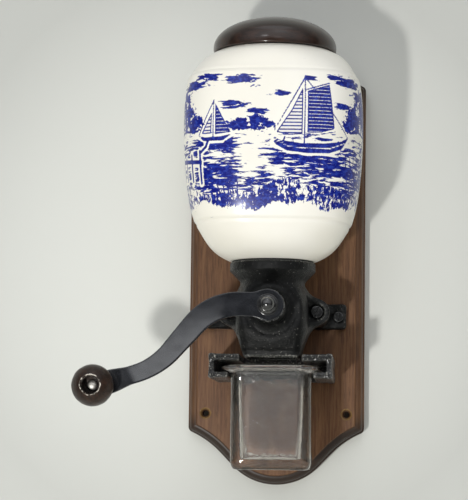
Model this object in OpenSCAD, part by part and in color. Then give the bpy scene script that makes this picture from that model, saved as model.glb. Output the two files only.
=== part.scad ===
// Wall-mounted manual coffee grinder, as an assembly of its separate pieces.
// The origin is the middle of the board's back face: +X right, +Y into the wall, +Z up.
// A depth is a distance in front of the board's front face.

/* [Board] */
// Width of the wooden board
board_w = 130; // [108:1:160]
// Height of the board from tip to tip
board_h = 336; // [300:1:410]
// Thickness of the board
board_t = 18; // [15:0.5:24]
// Width of the moulded edge
moulding_w = 7; // [4:0.5:9]
// Depth of the moulded edge
moulding_d = 7; // [4:0.5:10]
// Radius of the round tip at each end
tip_r = 44; // [36:1:48]
// Slope of the ogee at its steepest, in degrees
ogee_slope = 46; // [40:1:52]
// Slope of the ogee where it meets the shoulder, in degrees
shoulder_slope = 26; // [18:1:34]
// Radius of the shoulder corner
shoulder_r = 4; // [1:0.5:6]
// Radius of the four wall screw holes
wall_hole_r = 2.4; // [2:0.1:3]
// Radius of the countersink round a wall screw hole
wall_sink_r = 4; // [3.5:0.1:5]
// Distance from the board's side to a wall screw hole
wall_hole_edge = 13; // [11:0.5:20]
// Height of a wall screw hole above or below the middle
wall_hole_z = 116; // [90:1:120]

/* [Jar] */
// Width of the jar across its widest part
jar_w = 126.4; // [108:1:150]
// Depth of the jar from back to front
jar_depth = 118; // [100:1:140]
// Height of the jar from base to rim
jar_h = 150.3; // [130:0.5:180]
// Wall of the jar
jar_wall = 5; // [3.5:0.5:7]
// Thickness of the jar's floor
jar_floor = 7; // [5:0.5:10]
// Radius of the jar's foot
foot_r = 30.5; // [28:0.5:34]
// Radius of the mouth under the lid
mouth_r = 37.3; // [32:0.1:38]
// Radius of the hole in the jar's floor
drop_r = 20; // [17.5:0.5:21]
// Gap between the jar's back and the board
jar_gap = 3; // [1:0.5:10]

/* [Lid] */
// Radius of the lid
lid_r = 44.3; // [42:0.1:50]
// Height of the lid's domed top
lid_dome = 22.5; // [15:0.5:32]
// Height of the lid's straight edge
lid_edge = 2.7; // [1:0.1:6]
// Length of the plug that enters the mouth
plug_h = 9; // [6:0.5:14]
// Radius of the seal's round section
seal_r = 1.3; // [0.8:0.1:1.8]

/* [Housing] */
// Height of the collar's top face above the middle of the board
seat_z = -10.3; // [-20:0.1:0]
// Height of the collar's straight band
collar_band = 6.5; // [4:0.1:10]
// Radius of the neck below the collar
neck_r = 21.5; // [19:0.5:24]
// Height from the shaft to the collar's top face
shaft_drop = 34.2; // [33:0.1:44]
// Outer radius of the milling chamber
drum_r = 25; // [23.5:0.5:28]
// Inner radius of the milling chamber
chamber_r = 21; // [20:0.1:22]
// Depth at which the housing's back face lies
drum_back = 30; // [26:0.5:34]
// Depth of the housing's front face
drum_front = 84; // [80:0.5:90]
// Depth of the end of the hub
hub_end = 112; // [104:0.5:118]
// Radius of the hub
hub_r = 11; // [10:0.5:13]
// Distance from the chamber's outside to an ear's screw
ear_out = 6.5; // [5:0.5:12]
// Radius of an ear
ear_r = 9; // [8:0.1:11]
// Depth of an ear's back face
ear_back = 48; // [42:0.5:50]
// Thickness of an ear
ear_t = 10; // [8:0.5:14]
// Distance from the chute's lower edge to the collar's top face
chute_drop = 68.9; // [66:0.1:84]

/* [Rear bracket] */
// Distance from an ear's screw to a board screw
lug_out = 14.3; // [13.5:0.1:18]
// Half the width of a board lug
lug_half = 5.8; // [5:0.1:7]
// Height of a board lug
lug_h = 18.6; // [14:0.1:24]
// Thickness of a board lug
lug_t = 8; // [6:0.5:10]

/* [Shaft] */
// Radius of the shaft
shaft_r = 5; // [4.5:0.1:5.5]
// Wall of the two bushes
bush_wall = 3; // [2.7:0.1:3.5]
// Radius of the threaded front end of the shaft
thread_r = 3; // [2.5:0.1:3.5]
// Side of the square that drives the crank
drive_side = 6.8; // [6:0.1:7]

/* [Burrs] */
// Radius of the cone at its wide back end
cone_r = 17.6; // [16:0.1:18]
// Length of the fine teeth
burr_len = 12; // [9:0.5:14]
// Number of fine teeth on the cone
cone_teeth = 30; // [20:1:40]
// Number of fine teeth in the ring
ring_teeth = 36; // [20:1:44]
// Gap between the cone's teeth and the ring's teeth
grind_gap = 0.5; // [0.3:0.1:1]

/* [Crank] */
// Radius of the crank's eye
eye_r = 10.8; // [9:0.1:14]
// Thickness of the crank's steel
crank_t = 3.5; // [2.5:0.1:5]
// Half the crank's width near the eye
crank_half_a = 8.4; // [6:0.1:10]
// Half the crank's width near the knob
crank_half_b = 6.3; // [5:0.1:9]
// How far the crank's outer end stands out beyond its eye
joggle = 12; // [6:0.5:20]
// Radius of the grind adjusting nut
adjuster_r = 11.4; // [10:0.1:15]
// Thickness of the grind adjusting nut
adjuster_t = 7; // [5:0.5:8]

/* [Knob] */
// Largest radius of the knob
knob_r = 14.3; // [12:0.1:18]
// Length of the knob
knob_len = 27; // [22:0.5:34]
// Radius of the recess in the knob's face
recess_r = 6.1; // [5:0.1:7]
// Depth of the recess in the knob's face
recess_deep = 13; // [8:0.5:14]
// Radius of the knob's pin
pin_r = 2.5; // [2:0.1:3]

/* [Cup] */
// Width of the cup's flange
rim_w = 68; // [60:0.5:80]
// Depth of the cup's flange from back to front
rim_depth = 62; // [56:0.5:70]
// Thickness of the cup's flange
rim_t = 4.8; // [3.5:0.1:6]
// Width of the cup's body
cup_w = 56.8; // [50:0.2:66]
// Depth of the cup's body from back to front
cup_depth = 52; // [46:0.5:60]
// Height of the cup
cup_h = 73.3; // [60:0.1:90]
// Wall of the cup at its mouth
cup_wall = 5.6; // [4:0.1:7]
// Thickness of the cup's floor
cup_floor = 7.5; // [5:0.1:10]

/* [Cup bracket] */
// Thickness of the bracket's top plate
plate_t = 4.6; // [3:0.1:7]
// Thickness of a rail's outer wall
rail_wall = 3.5; // [2.5:0.1:6]
// Thickness of a rail's lip
lip_t = 4; // [3:0.1:6]
// How far the bracket reaches in front of the board
bracket_reach = 85; // [78:0.5:95]

/* [Fits] */
// Gap between pieces that move past each other
slide_gap = 0.3; // [0.2:0.05:0.5]
// Radial clearance of a shaft in its bush
run_gap = 0.05; // [0.02:0.01:0.09]
// Radial clearance of a screw in its hole
screw_gap = 0.1; // [0.05:0.05:0.3]

/* [Hidden] */
$fn = 48;

// Heights
gasket_t = 1;
foot_z = seat_z + gasket_t;
rim_z = foot_z + jar_h;
shaft_z = seat_z - shaft_drop;
chute_z = seat_z - chute_drop;
lid_z = rim_z + slide_gap;
floor_z = foot_z + jar_floor;

// Depths along the shaft
jar_d = jar_gap + jar_depth / 2;
burr_back = drum_back + 8;
burr_front = burr_back + burr_len;
cone_front = drum_front - 10;
wall_back = drum_front - 8;
spring_room = 20;
bush_len = 12;
bush_back = hub_end - bush_len;
collar_front = bush_back - spring_room - slide_gap;
washer_t = 1;
nut_back = hub_end + slide_gap;
nut_front = nut_back + adjuster_t;
crank_d = nut_front + 1.2;
crank_front = crank_d + crank_t;
crank_washer_t = 1.2;
nut_d = crank_front + crank_washer_t;
nut_len = 10.8;
knob_d = crank_front + joggle + washer_t;
rear_bush_back = 14;
pin_d = cone_front - 6;

// Widths and distances of the housing's and the rear bracket's parts
ear_x = drum_r + ear_out;
lug_x = ear_x + lug_out;
arm_r = drum_r - 3;
arm_t = ear_t + 4;
chute_half_w = drum_r - 1.5;
chute_bore_w = 33;
slot_w = 26;
throat_h = 18;
throat_from = 10;
shoulder_up = 19;
back_plate = 8;

// Turning pieces
bush_r = shaft_r + bush_wall;
wire_r = 0.7;
spring_r = (shaft_r + bush_r) / 2 - 0.2;
burr_slope = 2.4;
cone_pin_r = 1.5;
key_gap = 0.02;
crank_washer_r = 7.4;
knob_washer_r = 6.5;

// Screws
clamp_ring_r = 25;
clamp_ring_t = 2.5;
clamp_screw_r = 2;
clamp_head_r = 3.8;
clamp_bite = 6;
head_h = 2.4;
ear_screw_r = 2.5;
ear_head_r = 4.4;
ear_sink_r = 5.3;
ear_sink = 3;
ear_bite = 16;
ear_slot_turn = 62;
board_screw_r = 2.2;
board_head_r = 3.8;
screw_in_board = 13;
screw_tip = 0.5;
bracket_screw_x = 22;

// Crank corners in the plane of the crank, from the shaft's axis
crank_elbow = [-38, 0.7];
crank_knee = [-75, -44];
crank_end = [-115.9, -57.1];
elbow_r = 40;
knee_r = 50;
// Distances from the shaft between which the crank steps out and narrows
joggle_near = 31;
joggle_far = 105;

// Bracket and cup
rail_top = chute_z + 3;
rim_top = rail_top - plate_t - 2.9;
lip_top = rim_top - rim_t - slide_gap;
lip_low = lip_top - lip_t;
bracket_screw_z = (rail_top - plate_t + lip_low) / 2;
bracket_half = rim_w / 2 + 5.5 + rail_wall;
cup_back = 21;
cup_d = cup_back + rim_depth / 2;
lip_in = cup_w / 2 + 1.6;
flange_t = 5;

// Colours
iron = [0.07, 0.07, 0.075];
steel = [0.2, 0.21, 0.24];
bright = [0.75, 0.75, 0.74];
dark_wood = [0.12, 0.07, 0.05];

// Places and directions

// Moves children, drawn with local z pointing to the front, to a depth in front of the board
module out(d) { translate([0, -board_t - d, 0]) rotate([90, 0, 0]) children(); }

// The same on the shaft's axis
module on_shaft(d) { out(d) translate([0, shaft_z, 0]) children(); }

// The same on the knob's axis
module on_knob(d) { on_shaft(d) translate(crank_end) children(); }

// Draws children on both sides of the middle
module both_sides(x) { for (s = [-1, 1]) translate([s * x, 0, 0]) children(); }

// Curves

function nrm(s) = [sin(s), cos(s)];

function bezier(p, t) = pow(1 - t, 3) * p[0] + 3 * t * pow(1 - t, 2) * p[1]
  + 3 * t * t * (1 - t) * p[2] + t * t * t * p[3];

function smooth(t) = let (u = min(max(t, 0), 1)) u * u * (3 - 2 * u);

// A rounded rectangle, counter-clockwise, with n steps in each corner
function round_rect(w, h, r, n = 4) = [for (q = [0:3], i = [0:n])
  let (a = 90 * q + 90 * i / n, sx = (q == 0 || q == 3) ? 1 : -1, sy = q < 2 ? 1 : -1)
  [sx * (w / 2 - r) + r * cos(a), sy * (h / 2 - r) + r * sin(a)]];

function at_z(ring, z) = [for (p = ring) [p[0], p[1], z]];

function middle(ring) = [for (p = ring) 1] * ring / len(ring);

// A closed skin over rings with the same number of points, listed along local z
module skin(rings) {
  n = len(rings[0]);
  m = len(rings);
  last = (m - 1) * n;
  polyhedron(
    points = concat([for (r = rings) each r], [middle(rings[0]), middle(rings[m - 1])]),
    faces = [for (j = [0:n - 1]) let (k = (j + 1) % n) each concat(
      [[m * n, j, k], [m * n + 1, last + k, last + j]],
      [for (i = [0:m - 2]) let (a = i * n + j, b = i * n + k) each [[a, a + n, b + n], [a, b + n, b]]])],
    convexity = 8);
}

// Board

// One quarter of the outline, drawn in by t: shoulder, hollow, then round tip
function board_quarter(t) = let (
    w = board_w / 2,
    flat = (max(moulding_w, shoulder_r) + 0.5) * tan(45 - shoulder_slope / 2) * cos(shoulder_slope) + 0.3,
    slant = 13.5,
    c1 = [0, board_h / 2 - tip_r],
    p1 = c1 + tip_r * nrm(ogee_slope),
    p2 = p1 + slant * [cos(ogee_slope), -sin(ogee_slope)],
    hollow_r = (w - flat - p2[0]) / (sin(ogee_slope) - sin(shoulder_slope)),
    c2 = p2 + hollow_r * nrm(ogee_slope),
    p3 = c2 - hollow_r * nrm(shoulder_slope),
    corner_z = p3[1] - (w - p3[0]) * tan(shoulder_slope),
    r = max(shoulder_r - t, 0.3),
    c0 = [w - t - r, corner_z - (t + r) * tan(45 - shoulder_slope / 2)],
    turn = ogee_slope - shoulder_slope)
  concat(
    [for (i = [0:4]) c0 + r * nrm(90 - (90 - shoulder_slope) * i / 4)],
    [for (i = [0:6]) c2 - (hollow_r + t) * nrm(shoulder_slope + turn * i / 6)],
    [for (i = [0:7]) c1 + (tip_r - t) * nrm(ogee_slope * (1 - i / 7))]);

function board_outline(t) = let (
    q = board_quarter(t),
    upper = concat(q, [for (i = [len(q) - 2:-1:0]) [-q[i][0], q[i][1]]]))
  concat(upper, [for (p = upper) -p]);

// The moulded edge from back to front: depth from the back face, and how far it is drawn in
board_steps = let (z = board_t - moulding_d, lip = 0.8) concat(
  [[0, lip], [lip, 0], [z, 0], [z + 0.2, 1.2]],
  [for (a = [30, 60]) [z + (moulding_d - 1) * sin(a), 1.2 + (moulding_w - 2) * (1 - cos(a))]],
  [[board_t - 0.9, moulding_w - 0.8], [board_t - 0.7, moulding_w], [board_t, moulding_w]]);

module board() {
  color([0.29, 0.14, 0.09]) difference() {
    rotate([90, 0, 0]) skin([for (s = board_steps) at_z(board_outline(s[1]), s[0])]);
    for (sx = [-1, 1], sz = [-1, 1])
      translate([sx * (board_w / 2 - wall_hole_edge), 0, sz * wall_hole_z]) rotate([90, 0, 0]) {
        translate([0, 0, -1]) cylinder(r = wall_hole_r, h = board_t + 2);
        translate([0, 0, board_t - (wall_sink_r - wall_hole_r)])
          cylinder(r1 = wall_hole_r, r2 = wall_sink_r, h = wall_sink_r - wall_hole_r + 0.01);
      }
    on_shaft(-screw_in_board) both_sides(lug_x)
      cylinder(r = board_screw_r + screw_gap, h = screw_in_board + 1);
    out(-screw_in_board) both_sides(bracket_screw_x) translate([0, bracket_screw_z, 0])
      cylinder(r = board_screw_r + screw_gap, h = screw_in_board + 1);
  }
}

// Jar

// Half widths and heights above the foot, as shares of the jar's own width and height
jar_curves = let (w = jar_w / 2, h = jar_h, k = 0.168 * jar_h, u = 0.867 * jar_h) [
  [[foot_r, 0], [0.67 * w, 0.033 * h], [0.736 * w, 0.067 * h], [0.861 * w, k]],
  [[0.861 * w, k], [1.028 * w, 0.288 * h], [1.044 * w, 0.842 * h], [0.941 * w, u]],
  [[0.941 * w, u], [0.886 * w, 0.901 * h], [0.854 * w, 0.965 * h], [lid_r - 0.4, h - 1.4]]];

jar_profile = concat(
  [[foot_r - 1.2, 0]],
  [for (c = jar_curves, i = [0:6]) if (i > 0 || c == jar_curves[0]) bezier(c, i / 6)],
  [[mouth_r + 4.7, jar_h - 1.2], [mouth_r + 4.7, jar_h - 0.4], [mouth_r + 4.2, jar_h]]);

function jar_r(h) = lookup(h, [for (p = jar_profile) [p[1], p[0]]]);

// How square the jar is at height h above its foot: 0 is round, 1 is the full rounded square
function squareness(h) = smooth(h / (0.2 * jar_h)) * smooth((jar_h - h) / (0.16 * jar_h));

// A ring of the jar: a superellipse that turns into a circle at the foot and at the mouth
function jar_ring(r, h, n = 48) = let (
    q = squareness(h),
    e = 2 / (2 + 1.15 * q),
    d = r * (1 - (1 - jar_depth / jar_w) * q))
  [for (i = [0:n - 1]) let (a = 360 * i / n, c = cos(a), s = sin(a))
    [r * sign(c) * pow(abs(c), e), d * sign(s) * pow(abs(s), e), h]];

module on_jar(z) { translate([0, -board_t - jar_d, z]) children(); }

module clamp_places() { for (i = [0:2]) rotate(90 + 120 * i) translate([clamp_ring_r, 0, 0]) children(); }

module jar() {
  inner = concat([jar_floor, jar_floor + 2.5, jar_floor + 6],
    [for (k = [0.14, 0.2, 0.3, 0.45, 0.6, 0.75, 0.85, 0.9, 0.935, 0.96]) k * jar_h]);
  color([0.95, 0.93, 0.88]) on_jar(foot_z) difference() {
    skin([for (p = jar_profile) jar_ring(p[0], p[1])]);
    skin([for (h = inner) jar_ring(jar_r(h) - jar_wall - (h == jar_floor ? 2.5 : 0), h)]);
    translate([0, 0, jar_h * 0.94]) cylinder(r = mouth_r, h = jar_h * 0.06 + 1);
    translate([0, 0, -1]) cylinder(r = drop_r, h = jar_floor + 2);
    clamp_places() translate([0, 0, -1]) cylinder(r = clamp_screw_r + screw_gap, h = jar_floor + 2);
  }
}

module jar_gasket() {
  color([0.16, 0.15, 0.14]) on_jar(seat_z) difference() {
    cylinder(r = foot_r - 1.5, h = gasket_t);
    translate([0, 0, -1]) cylinder(r = drop_r, h = gasket_t + 2);
    clamp_places() translate([0, 0, -1]) cylinder(r = clamp_screw_r + screw_gap, h = gasket_t + 2);
  }
}

module jar_clamp_ring() {
  color(iron) on_jar(floor_z) difference() {
    cylinder(r = clamp_ring_r + 4.5, h = clamp_ring_t);
    translate([0, 0, -1]) cylinder(r = drop_r - 0.5, h = clamp_ring_t + 2);
    clamp_places() translate([0, 0, -1]) cylinder(r = clamp_screw_r + screw_gap, h = clamp_ring_t + 2);
  }
}

// A slotted screw with its head's underside at z = 0 and its shank below
module slotted_screw(head_r, head_h, shank_r, len, slot = 1.1) {
  difference() {
    union() {
      cylinder(r = head_r, h = head_h * 0.7);
      translate([0, 0, head_h * 0.7]) cylinder(r1 = head_r, r2 = head_r * 0.8, h = head_h * 0.3);
      translate([0, 0, -len]) cylinder(r = shank_r, h = len + 0.01);
    }
    translate([-head_r - 1, -slot / 2, head_h * 0.45]) cube([2 * head_r + 2, slot, head_h]);
  }
}

module clamp_screws() {
  color(bright) on_jar(floor_z + clamp_ring_t) clamp_places()
    slotted_screw(clamp_head_r, head_h, clamp_screw_r, clamp_ring_t + jar_floor + gasket_t + clamp_bite);
}

// Lid

module lid() {
  groove = seal_r * 0.7;
  plug_r = mouth_r - 1.1;
  eased = 0.8;
  color(dark_wood) on_jar(lid_z) difference() {
    rotate_extrude($fn = 96) polygon(concat(
      [[0, -plug_h], [plug_r - eased, -plug_h], [plug_r, -plug_h + eased], [plug_r, 0],
        [lid_r - eased, 0], [lid_r, eased]],
      [for (a = [0:9:90]) [lid_r * cos(a), lid_edge + lid_dome * pow(sin(a), 0.94)]]));
    translate([0, 0, -plug_h / 2]) rotate_extrude($fn = 96)
      translate([plug_r, 0]) square([2 * groove, 2 * seal_r], center = true);
  }
}

module lid_seal() {
  color([0.25, 0.24, 0.23]) on_jar(lid_z - plug_h / 2) rotate_extrude($fn = 96)
    translate([mouth_r - 0.15 - seal_r * 0.65, 0]) intersection() {
      circle(r = seal_r, $fn = 24);
      square([1.3 * seal_r, 2 * seal_r], center = true);
    }
}

// Housing

module collar_and_neck() {
  h = shaft_drop - 4;
  taper = 8.2;
  eased = 0.8;
  on_jar(seat_z - h) rotate_extrude($fn = 96) polygon([[0, 0], [neck_r, 0],
    [neck_r, h - collar_band - taper], [foot_r, h - collar_band], [foot_r, h - eased],
    [foot_r - eased, h], [0, h]]);
}

// The housing's front, turned about the shaft: radii, and heights from drum_front. A dome falls to a
// shallow valley, and a ridge stands round the foot of the hub.
function front_profile() = let (valley = (drum_r + hub_r) / 2 + 0.4) [
  [0, drum_back - drum_front], [drum_r, drum_back - drum_front], [drum_r, -23], [drum_r - 0.4, -16],
  [drum_r - 1.2, -9], [drum_r - 2.4, -4.5], [drum_r - 3.4, -3], [drum_r - 4.6, -3.3], [valley, -4.4],
  [hub_r + 5.2, -3.6], [hub_r + 4.2, -0.5], [hub_r + 3.6, 1.2], [hub_r + 2.2, 2], [hub_r + 0.6, 4.5],
  [hub_r, 8], [hub_r, hub_end - drum_front - 0.8], [hub_r - 0.8, hub_end - drum_front],
  [0, hub_end - drum_front]];

// The corner between an arm's lower side and the chute, filled by an arc that touches both
module arm_fillet(r) {
  lean = asin((arm_r - ear_r) / ear_x);
  wall = chute_half_w - 0.3;
  cx = wall + r;
  cy = (cx * sin(lean) - arm_r) / cos(lean) - r / cos(lean);
  polygon(concat([[wall - 3, cy], [wall - 3, 0], [cx - r * sin(lean), 0]],
    [for (i = [0:5]) let (a = 90 + lean + (90 - lean) * i / 5) [cx + r * cos(a), cy + r * sin(a)]]));
}

module housing_shell() {
  collar_and_neck();
  on_shaft(drum_front) rotate_extrude($fn = 96) polygon(front_profile());
  // shoulders that join the neck to the chamber
  hull() {
    on_jar(shaft_z + shoulder_up) cylinder(r = neck_r, h = 1, $fn = 32);
    on_shaft(drum_back + 4) cylinder(r = drum_r - 1, h = drum_front - drum_back - 16, $fn = 32);
  }
  // arms that taper from the chamber to the ears, with fillets under them
  for (s = [-1, 1]) hull() {
    on_shaft(ear_back) cylinder(r = arm_r, h = arm_t, $fn = 32);
    on_shaft(ear_back) translate([s * ear_x, 0, 0]) cylinder(r = ear_r - 0.3, h = ear_t - 1.5, $fn = 32);
  }
  on_shaft(ear_back) for (s = [0, 1]) mirror([s, 0, 0]) linear_extrude(arm_t) arm_fillet(8);
  on_shaft(ear_back) both_sides(ear_x) cylinder(r = ear_r, h = ear_t);
  // chute, with a lip that rolls out at its lower edge
  chute_mid = (drum_back + drum_front) / 2 - 1;
  chute_w = 2 * chute_half_w;
  length = drum_front - drum_back - 6;
  on_jar(0) translate([0, jar_d - chute_mid, 0]) skin([
    at_z(round_rect(chute_w - 4, length - 2, 6), chute_z),
    at_z(round_rect(chute_w - 3, length - 1, 6), chute_z + 2),
    at_z(round_rect(chute_w - 4.4, length - 3, 6), chute_z + 4.5),
    at_z(round_rect(chute_w - 1, length, 7), shaft_z - 24),
    at_z(round_rect(chute_w, length, 9), shaft_z - 17),
    at_z(round_rect(chute_w - 3, length - 4, 10), shaft_z - 6)]);
}

module housing() {
  throat_top = drop_r - 3;
  throat_low = drop_r - 8;
  cavity_top = shaft_z - chamber_r - 2.2;
  color(iron) difference() {
    housing_shell();
    // chamber, which narrows in front of the burrs as the dome does
    on_shaft(drum_back) rotate_extrude($fn = 96) polygon([[0, -1], [chamber_r, -1],
      [chamber_r, burr_front + 6 - drum_back], [chamber_r - 5, wall_back - drum_back],
      [0, wall_back - drum_back]]);
    on_shaft(wall_back - 1) cylinder(r = bush_r + 0.2, h = bush_back - wall_back + 1);
    on_shaft(bush_back - 1) cylinder(r = bush_r, h = bush_len + 2);
    on_jar(shaft_z + throat_from) cylinder(r = throat_low, h = throat_h - throat_from + 0.1);
    on_jar(shaft_z + throat_h) cylinder(r1 = throat_low, r2 = throat_top, h = shaft_drop - throat_h + 0.01);
    on_jar(seat_z - clamp_bite - 1) clamp_places()
      cylinder(r = clamp_screw_r + screw_gap, h = clamp_bite + 2);
    out(ear_back - 1) both_sides(ear_x) translate([0, shaft_z, 0]) {
      cylinder(r = ear_screw_r + screw_gap, h = ear_t + 2);
      translate([0, 0, ear_t + 1 - ear_sink]) cylinder(r = ear_sink_r, h = ear_sink + arm_t);
    }
    // chute cavity, and the slot where the ground coffee leaves the burrs
    translate([-chute_bore_w / 2, -board_t - wall_back, chute_z - 1])
      cube([chute_bore_w, wall_back - drum_back - 4, cavity_top - chute_z + 1]);
    translate([-slot_w / 2, -board_t - burr_back, cavity_top - 1])
      cube([slot_w, burr_back - drum_back - 2.5, 12]);
  }
}

module housing_screws() {
  color([0.12, 0.12, 0.12]) on_shaft(ear_back + ear_t - ear_sink) both_sides(ear_x)
    rotate(ear_slot_turn) slotted_screw(ear_head_r, head_h, ear_screw_r, ear_t - ear_sink + ear_bite);
}

// Rear bracket: board lugs, posts behind the ears, and the back of the chamber

module rear_bracket() {
  color(iron) difference() {
    union() {
      on_shaft(0) linear_extrude(lug_t) polygon(round_rect(2 * (lug_x + lug_half), lug_h, 3));
      on_shaft(lug_t - 0.01) cylinder(r = bush_r + 4, h = drum_back - back_plate - lug_t + 0.1);
      on_shaft(drum_back - back_plate) cylinder(r = drum_r, h = back_plate);
      on_shaft(drum_back - 0.01) cylinder(r = chamber_r - run_gap, h = 2);
      on_shaft(lug_t - 0.01) both_sides(ear_x) cylinder(r = ear_r - 1, h = ear_back - lug_t + 0.01);
      on_shaft(0) translate([-ear_x, -4, lug_t - 1]) cube([2 * ear_x, 8, drum_back - lug_t - 1]);
    }
    on_shaft(rear_bush_back - 2) cylinder(r = bush_r, h = drum_back);
    // hollows in the posts that clear the chamber
    on_shaft(drum_back) difference() {
      cylinder(r = drum_r + slide_gap, h = ear_back - drum_back + 1);
      translate([0, 0, -1]) cylinder(r = chamber_r, h = ear_back - drum_back + 3);
    }
    on_shaft(ear_back - ear_bite - 4) both_sides(ear_x)
      cylinder(r = ear_screw_r + screw_gap, h = ear_bite + 5);
    on_shaft(-1) both_sides(lug_x) {
      cylinder(r = board_screw_r + screw_gap, h = lug_t + 2);
      translate([0, 0, lug_t - 1]) cylinder(r = board_head_r + 1, h = 3);
    }
  }
}

module board_screws() {
  color([0.12, 0.12, 0.12]) on_shaft(lug_t - 2) both_sides(lug_x)
    rotate(35) slotted_screw(board_head_r, head_h, board_screw_r, lug_t - 2 + screw_in_board - screw_tip);
}

// Cup bracket: a top plate with two C-shaped rails, open in the middle for the chute

module cup_bracket() {
  half = bracket_half;
  reach = bracket_reach;
  front = -board_t - reach;
  tall = rail_top - lip_low;
  notch = chute_half_w - 1.5;
  nose_r = 2;
  color(iron) difference() {
    union() {
      translate([-half, front, rail_top - plate_t]) cube([2 * half, reach, plate_t]);
      for (s = [0, 1]) mirror([s, 0, 0]) {
        translate([half - rail_wall, front, lip_low]) cube([rail_wall, reach, tall]);
        // lip with a rounded front corner
        translate([lip_in + nose_r, front, lip_low]) cube([half - lip_in - nose_r, reach, lip_t]);
        translate([lip_in, front + nose_r, lip_low]) cube([2 * nose_r, reach - nose_r, lip_t]);
        translate([lip_in + nose_r, front + nose_r, lip_low]) cylinder(r = nose_r, h = lip_t);
        // stop that the cup's flange meets
        translate([lip_in + 1, -board_t - cup_back + slide_gap, lip_low])
          cube([half - lip_in - 1, 5, tall]);
      }
      translate([-half, -board_t - flange_t, lip_low]) cube([2 * half, flange_t, tall]);
    }
    translate([-notch, front - 1, rail_top - plate_t - 1])
      cube([2 * notch, reach - drum_back + 2, plate_t + 2]);
    out(-1) both_sides(bracket_screw_x) translate([0, bracket_screw_z, 0])
      cylinder(r = board_screw_r + screw_gap, h = flange_t + 2);
  }
}

module bracket_screws() {
  color([0.12, 0.12, 0.12]) out(flange_t) both_sides(bracket_screw_x) translate([0, bracket_screw_z, 0])
    slotted_screw(board_head_r, head_h, board_screw_r, flange_t + screw_in_board - screw_tip);
}

// Glass cup: a flange over a straight body with a tapered inside

module glass_cup() {
  base_z = rim_top - cup_h;
  bore_w = cup_w - 2 * cup_wall;
  bore_d = cup_depth - 2 * cup_wall;
  color([0.8, 0.85, 0.85, 0.4]) translate([0, -board_t - cup_d, 0]) difference() {
    union() {
      skin([
        at_z(round_rect(rim_w - 5.4, rim_depth - 4, 5), rim_top - rim_t),
        at_z(round_rect(rim_w - 1, rim_depth - 1, 6), rim_top - 0.52 * rim_t),
        at_z(round_rect(rim_w, rim_depth, 6), rim_top - 0.42 * rim_t),
        at_z(round_rect(rim_w - 0.8, rim_depth - 0.8, 6), rim_top - 0.3 * rim_t),
        at_z(round_rect(rim_w - 5, rim_depth - 5, 5), rim_top)]);
      skin([
        at_z(round_rect(cup_w - 7, cup_depth - 7, 6, 5), base_z),
        at_z(round_rect(cup_w - 2.4, cup_depth - 2.4, 7.5, 5), base_z + 1.6),
        at_z(round_rect(cup_w - 0.6, cup_depth - 0.6, 8, 5), base_z + 4),
        at_z(round_rect(cup_w, cup_depth, 8, 5), base_z + 7),
        at_z(round_rect(cup_w, cup_depth, 8, 5), rim_top - rim_t + 0.5)]);
    }
    skin([
      at_z(round_rect(bore_w - 8.5, bore_d - 8.5, 4, 5), base_z + cup_floor),
      at_z(round_rect(bore_w - 5.4, bore_d - 5.4, 5, 5), base_z + cup_floor + 1.6),
      at_z(round_rect(bore_w, bore_d, 6, 5), rim_top + 0.01)]);
  }
}

// Shaft and burrs

module crank_shaft() {
  length = crank_d - rear_bush_back;
  color(bright) on_shaft(rear_bush_back) difference() {
    union() {
      cylinder(r = shaft_r, h = length);
      // collar that the spring pushes against
      translate([0, 0, collar_front - washer_t - 2.5 - rear_bush_back]) cylinder(r = bush_r - 1, h = 2.5);
      translate([-drive_side / 2, -drive_side / 2, length - 1])
        cube([drive_side, drive_side, crank_t + 0.8]);
      translate([0, 0, length - 1]) cylinder(r = thread_r, h = crank_t + crank_washer_t + 7);
    }
    translate([0, 0, pin_d - rear_bush_back]) rotate([0, 90, 0])
      cylinder(r = cone_pin_r + key_gap, h = 3 * shaft_r, center = true);
  }
}

// A toothed ring of 2 n points between radii r and r - tooth, twisted by a
function tooth_ring(r, tooth, n, a, z) = [for (i = [0:2 * n - 1])
  let (q = r - (i % 2) * tooth) [q * cos(180 * i / n + a), q * sin(180 * i / n + a), z]];

// A ring of the breaker: a round core with four spiral ribs
function breaker_ring(core, rib, a, z, n = 32) = [for (i = [0:n - 1])
  let (t = 360 * i / n, q = core + rib * pow(max(cos(4 * t - a), 0), 2)) [q * cos(t), q * sin(t), z]];

module burr_cone() {
  breaker = cone_front - burr_front;
  core = cone_r - 6.4;
  color([0.35, 0.35, 0.36]) on_shaft(burr_back) difference() {
    union() {
      skin([for (k = [0:2])
        tooth_ring(cone_r - burr_slope * k / 2, 1.3, cone_teeth, 7 * k, burr_len * k / 2)]);
      translate([0, 0, burr_len - 0.5]) skin([for (k = [0:6])
        breaker_ring(core - 2.2 * k / 6, 2.3 + 1.5 * smooth(k / 3), 60 * k, (breaker + 0.5) * k / 6)]);
    }
    translate([0, 0, -1]) cylinder(r = shaft_r, h = burr_len + breaker + 2);
    translate([0, 0, pin_d - burr_back]) rotate([0, 90, 0])
      cylinder(r = cone_pin_r + key_gap, h = 3 * cone_r, center = true);
  }
}

module cone_pin() {
  color(bright) on_shaft(pin_d) rotate([0, 90, 0])
    cylinder(r = cone_pin_r, h = 2 * shaft_r + 7, center = true);
}

module burr_ring() {
  tooth = 1.2;
  root_r = cone_r + grind_gap + tooth;
  color([0.35, 0.35, 0.36]) on_shaft(burr_back) difference() {
    cylinder(r = chamber_r - run_gap, h = burr_len, $fn = 96);
    translate([0, 0, -0.01]) skin([for (k = [0:2])
      tooth_ring(root_r - burr_slope * k / 2, tooth, ring_teeth, -7 * k, (burr_len + 0.02) * k / 2)]);
  }
}

module rear_bush() {
  color([0.7, 0.55, 0.3]) on_shaft(rear_bush_back) difference() {
    cylinder(r = bush_r, h = drum_back - rear_bush_back);
    translate([0, 0, -1]) cylinder(r = shaft_r + run_gap, h = drum_back);
  }
}

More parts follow.
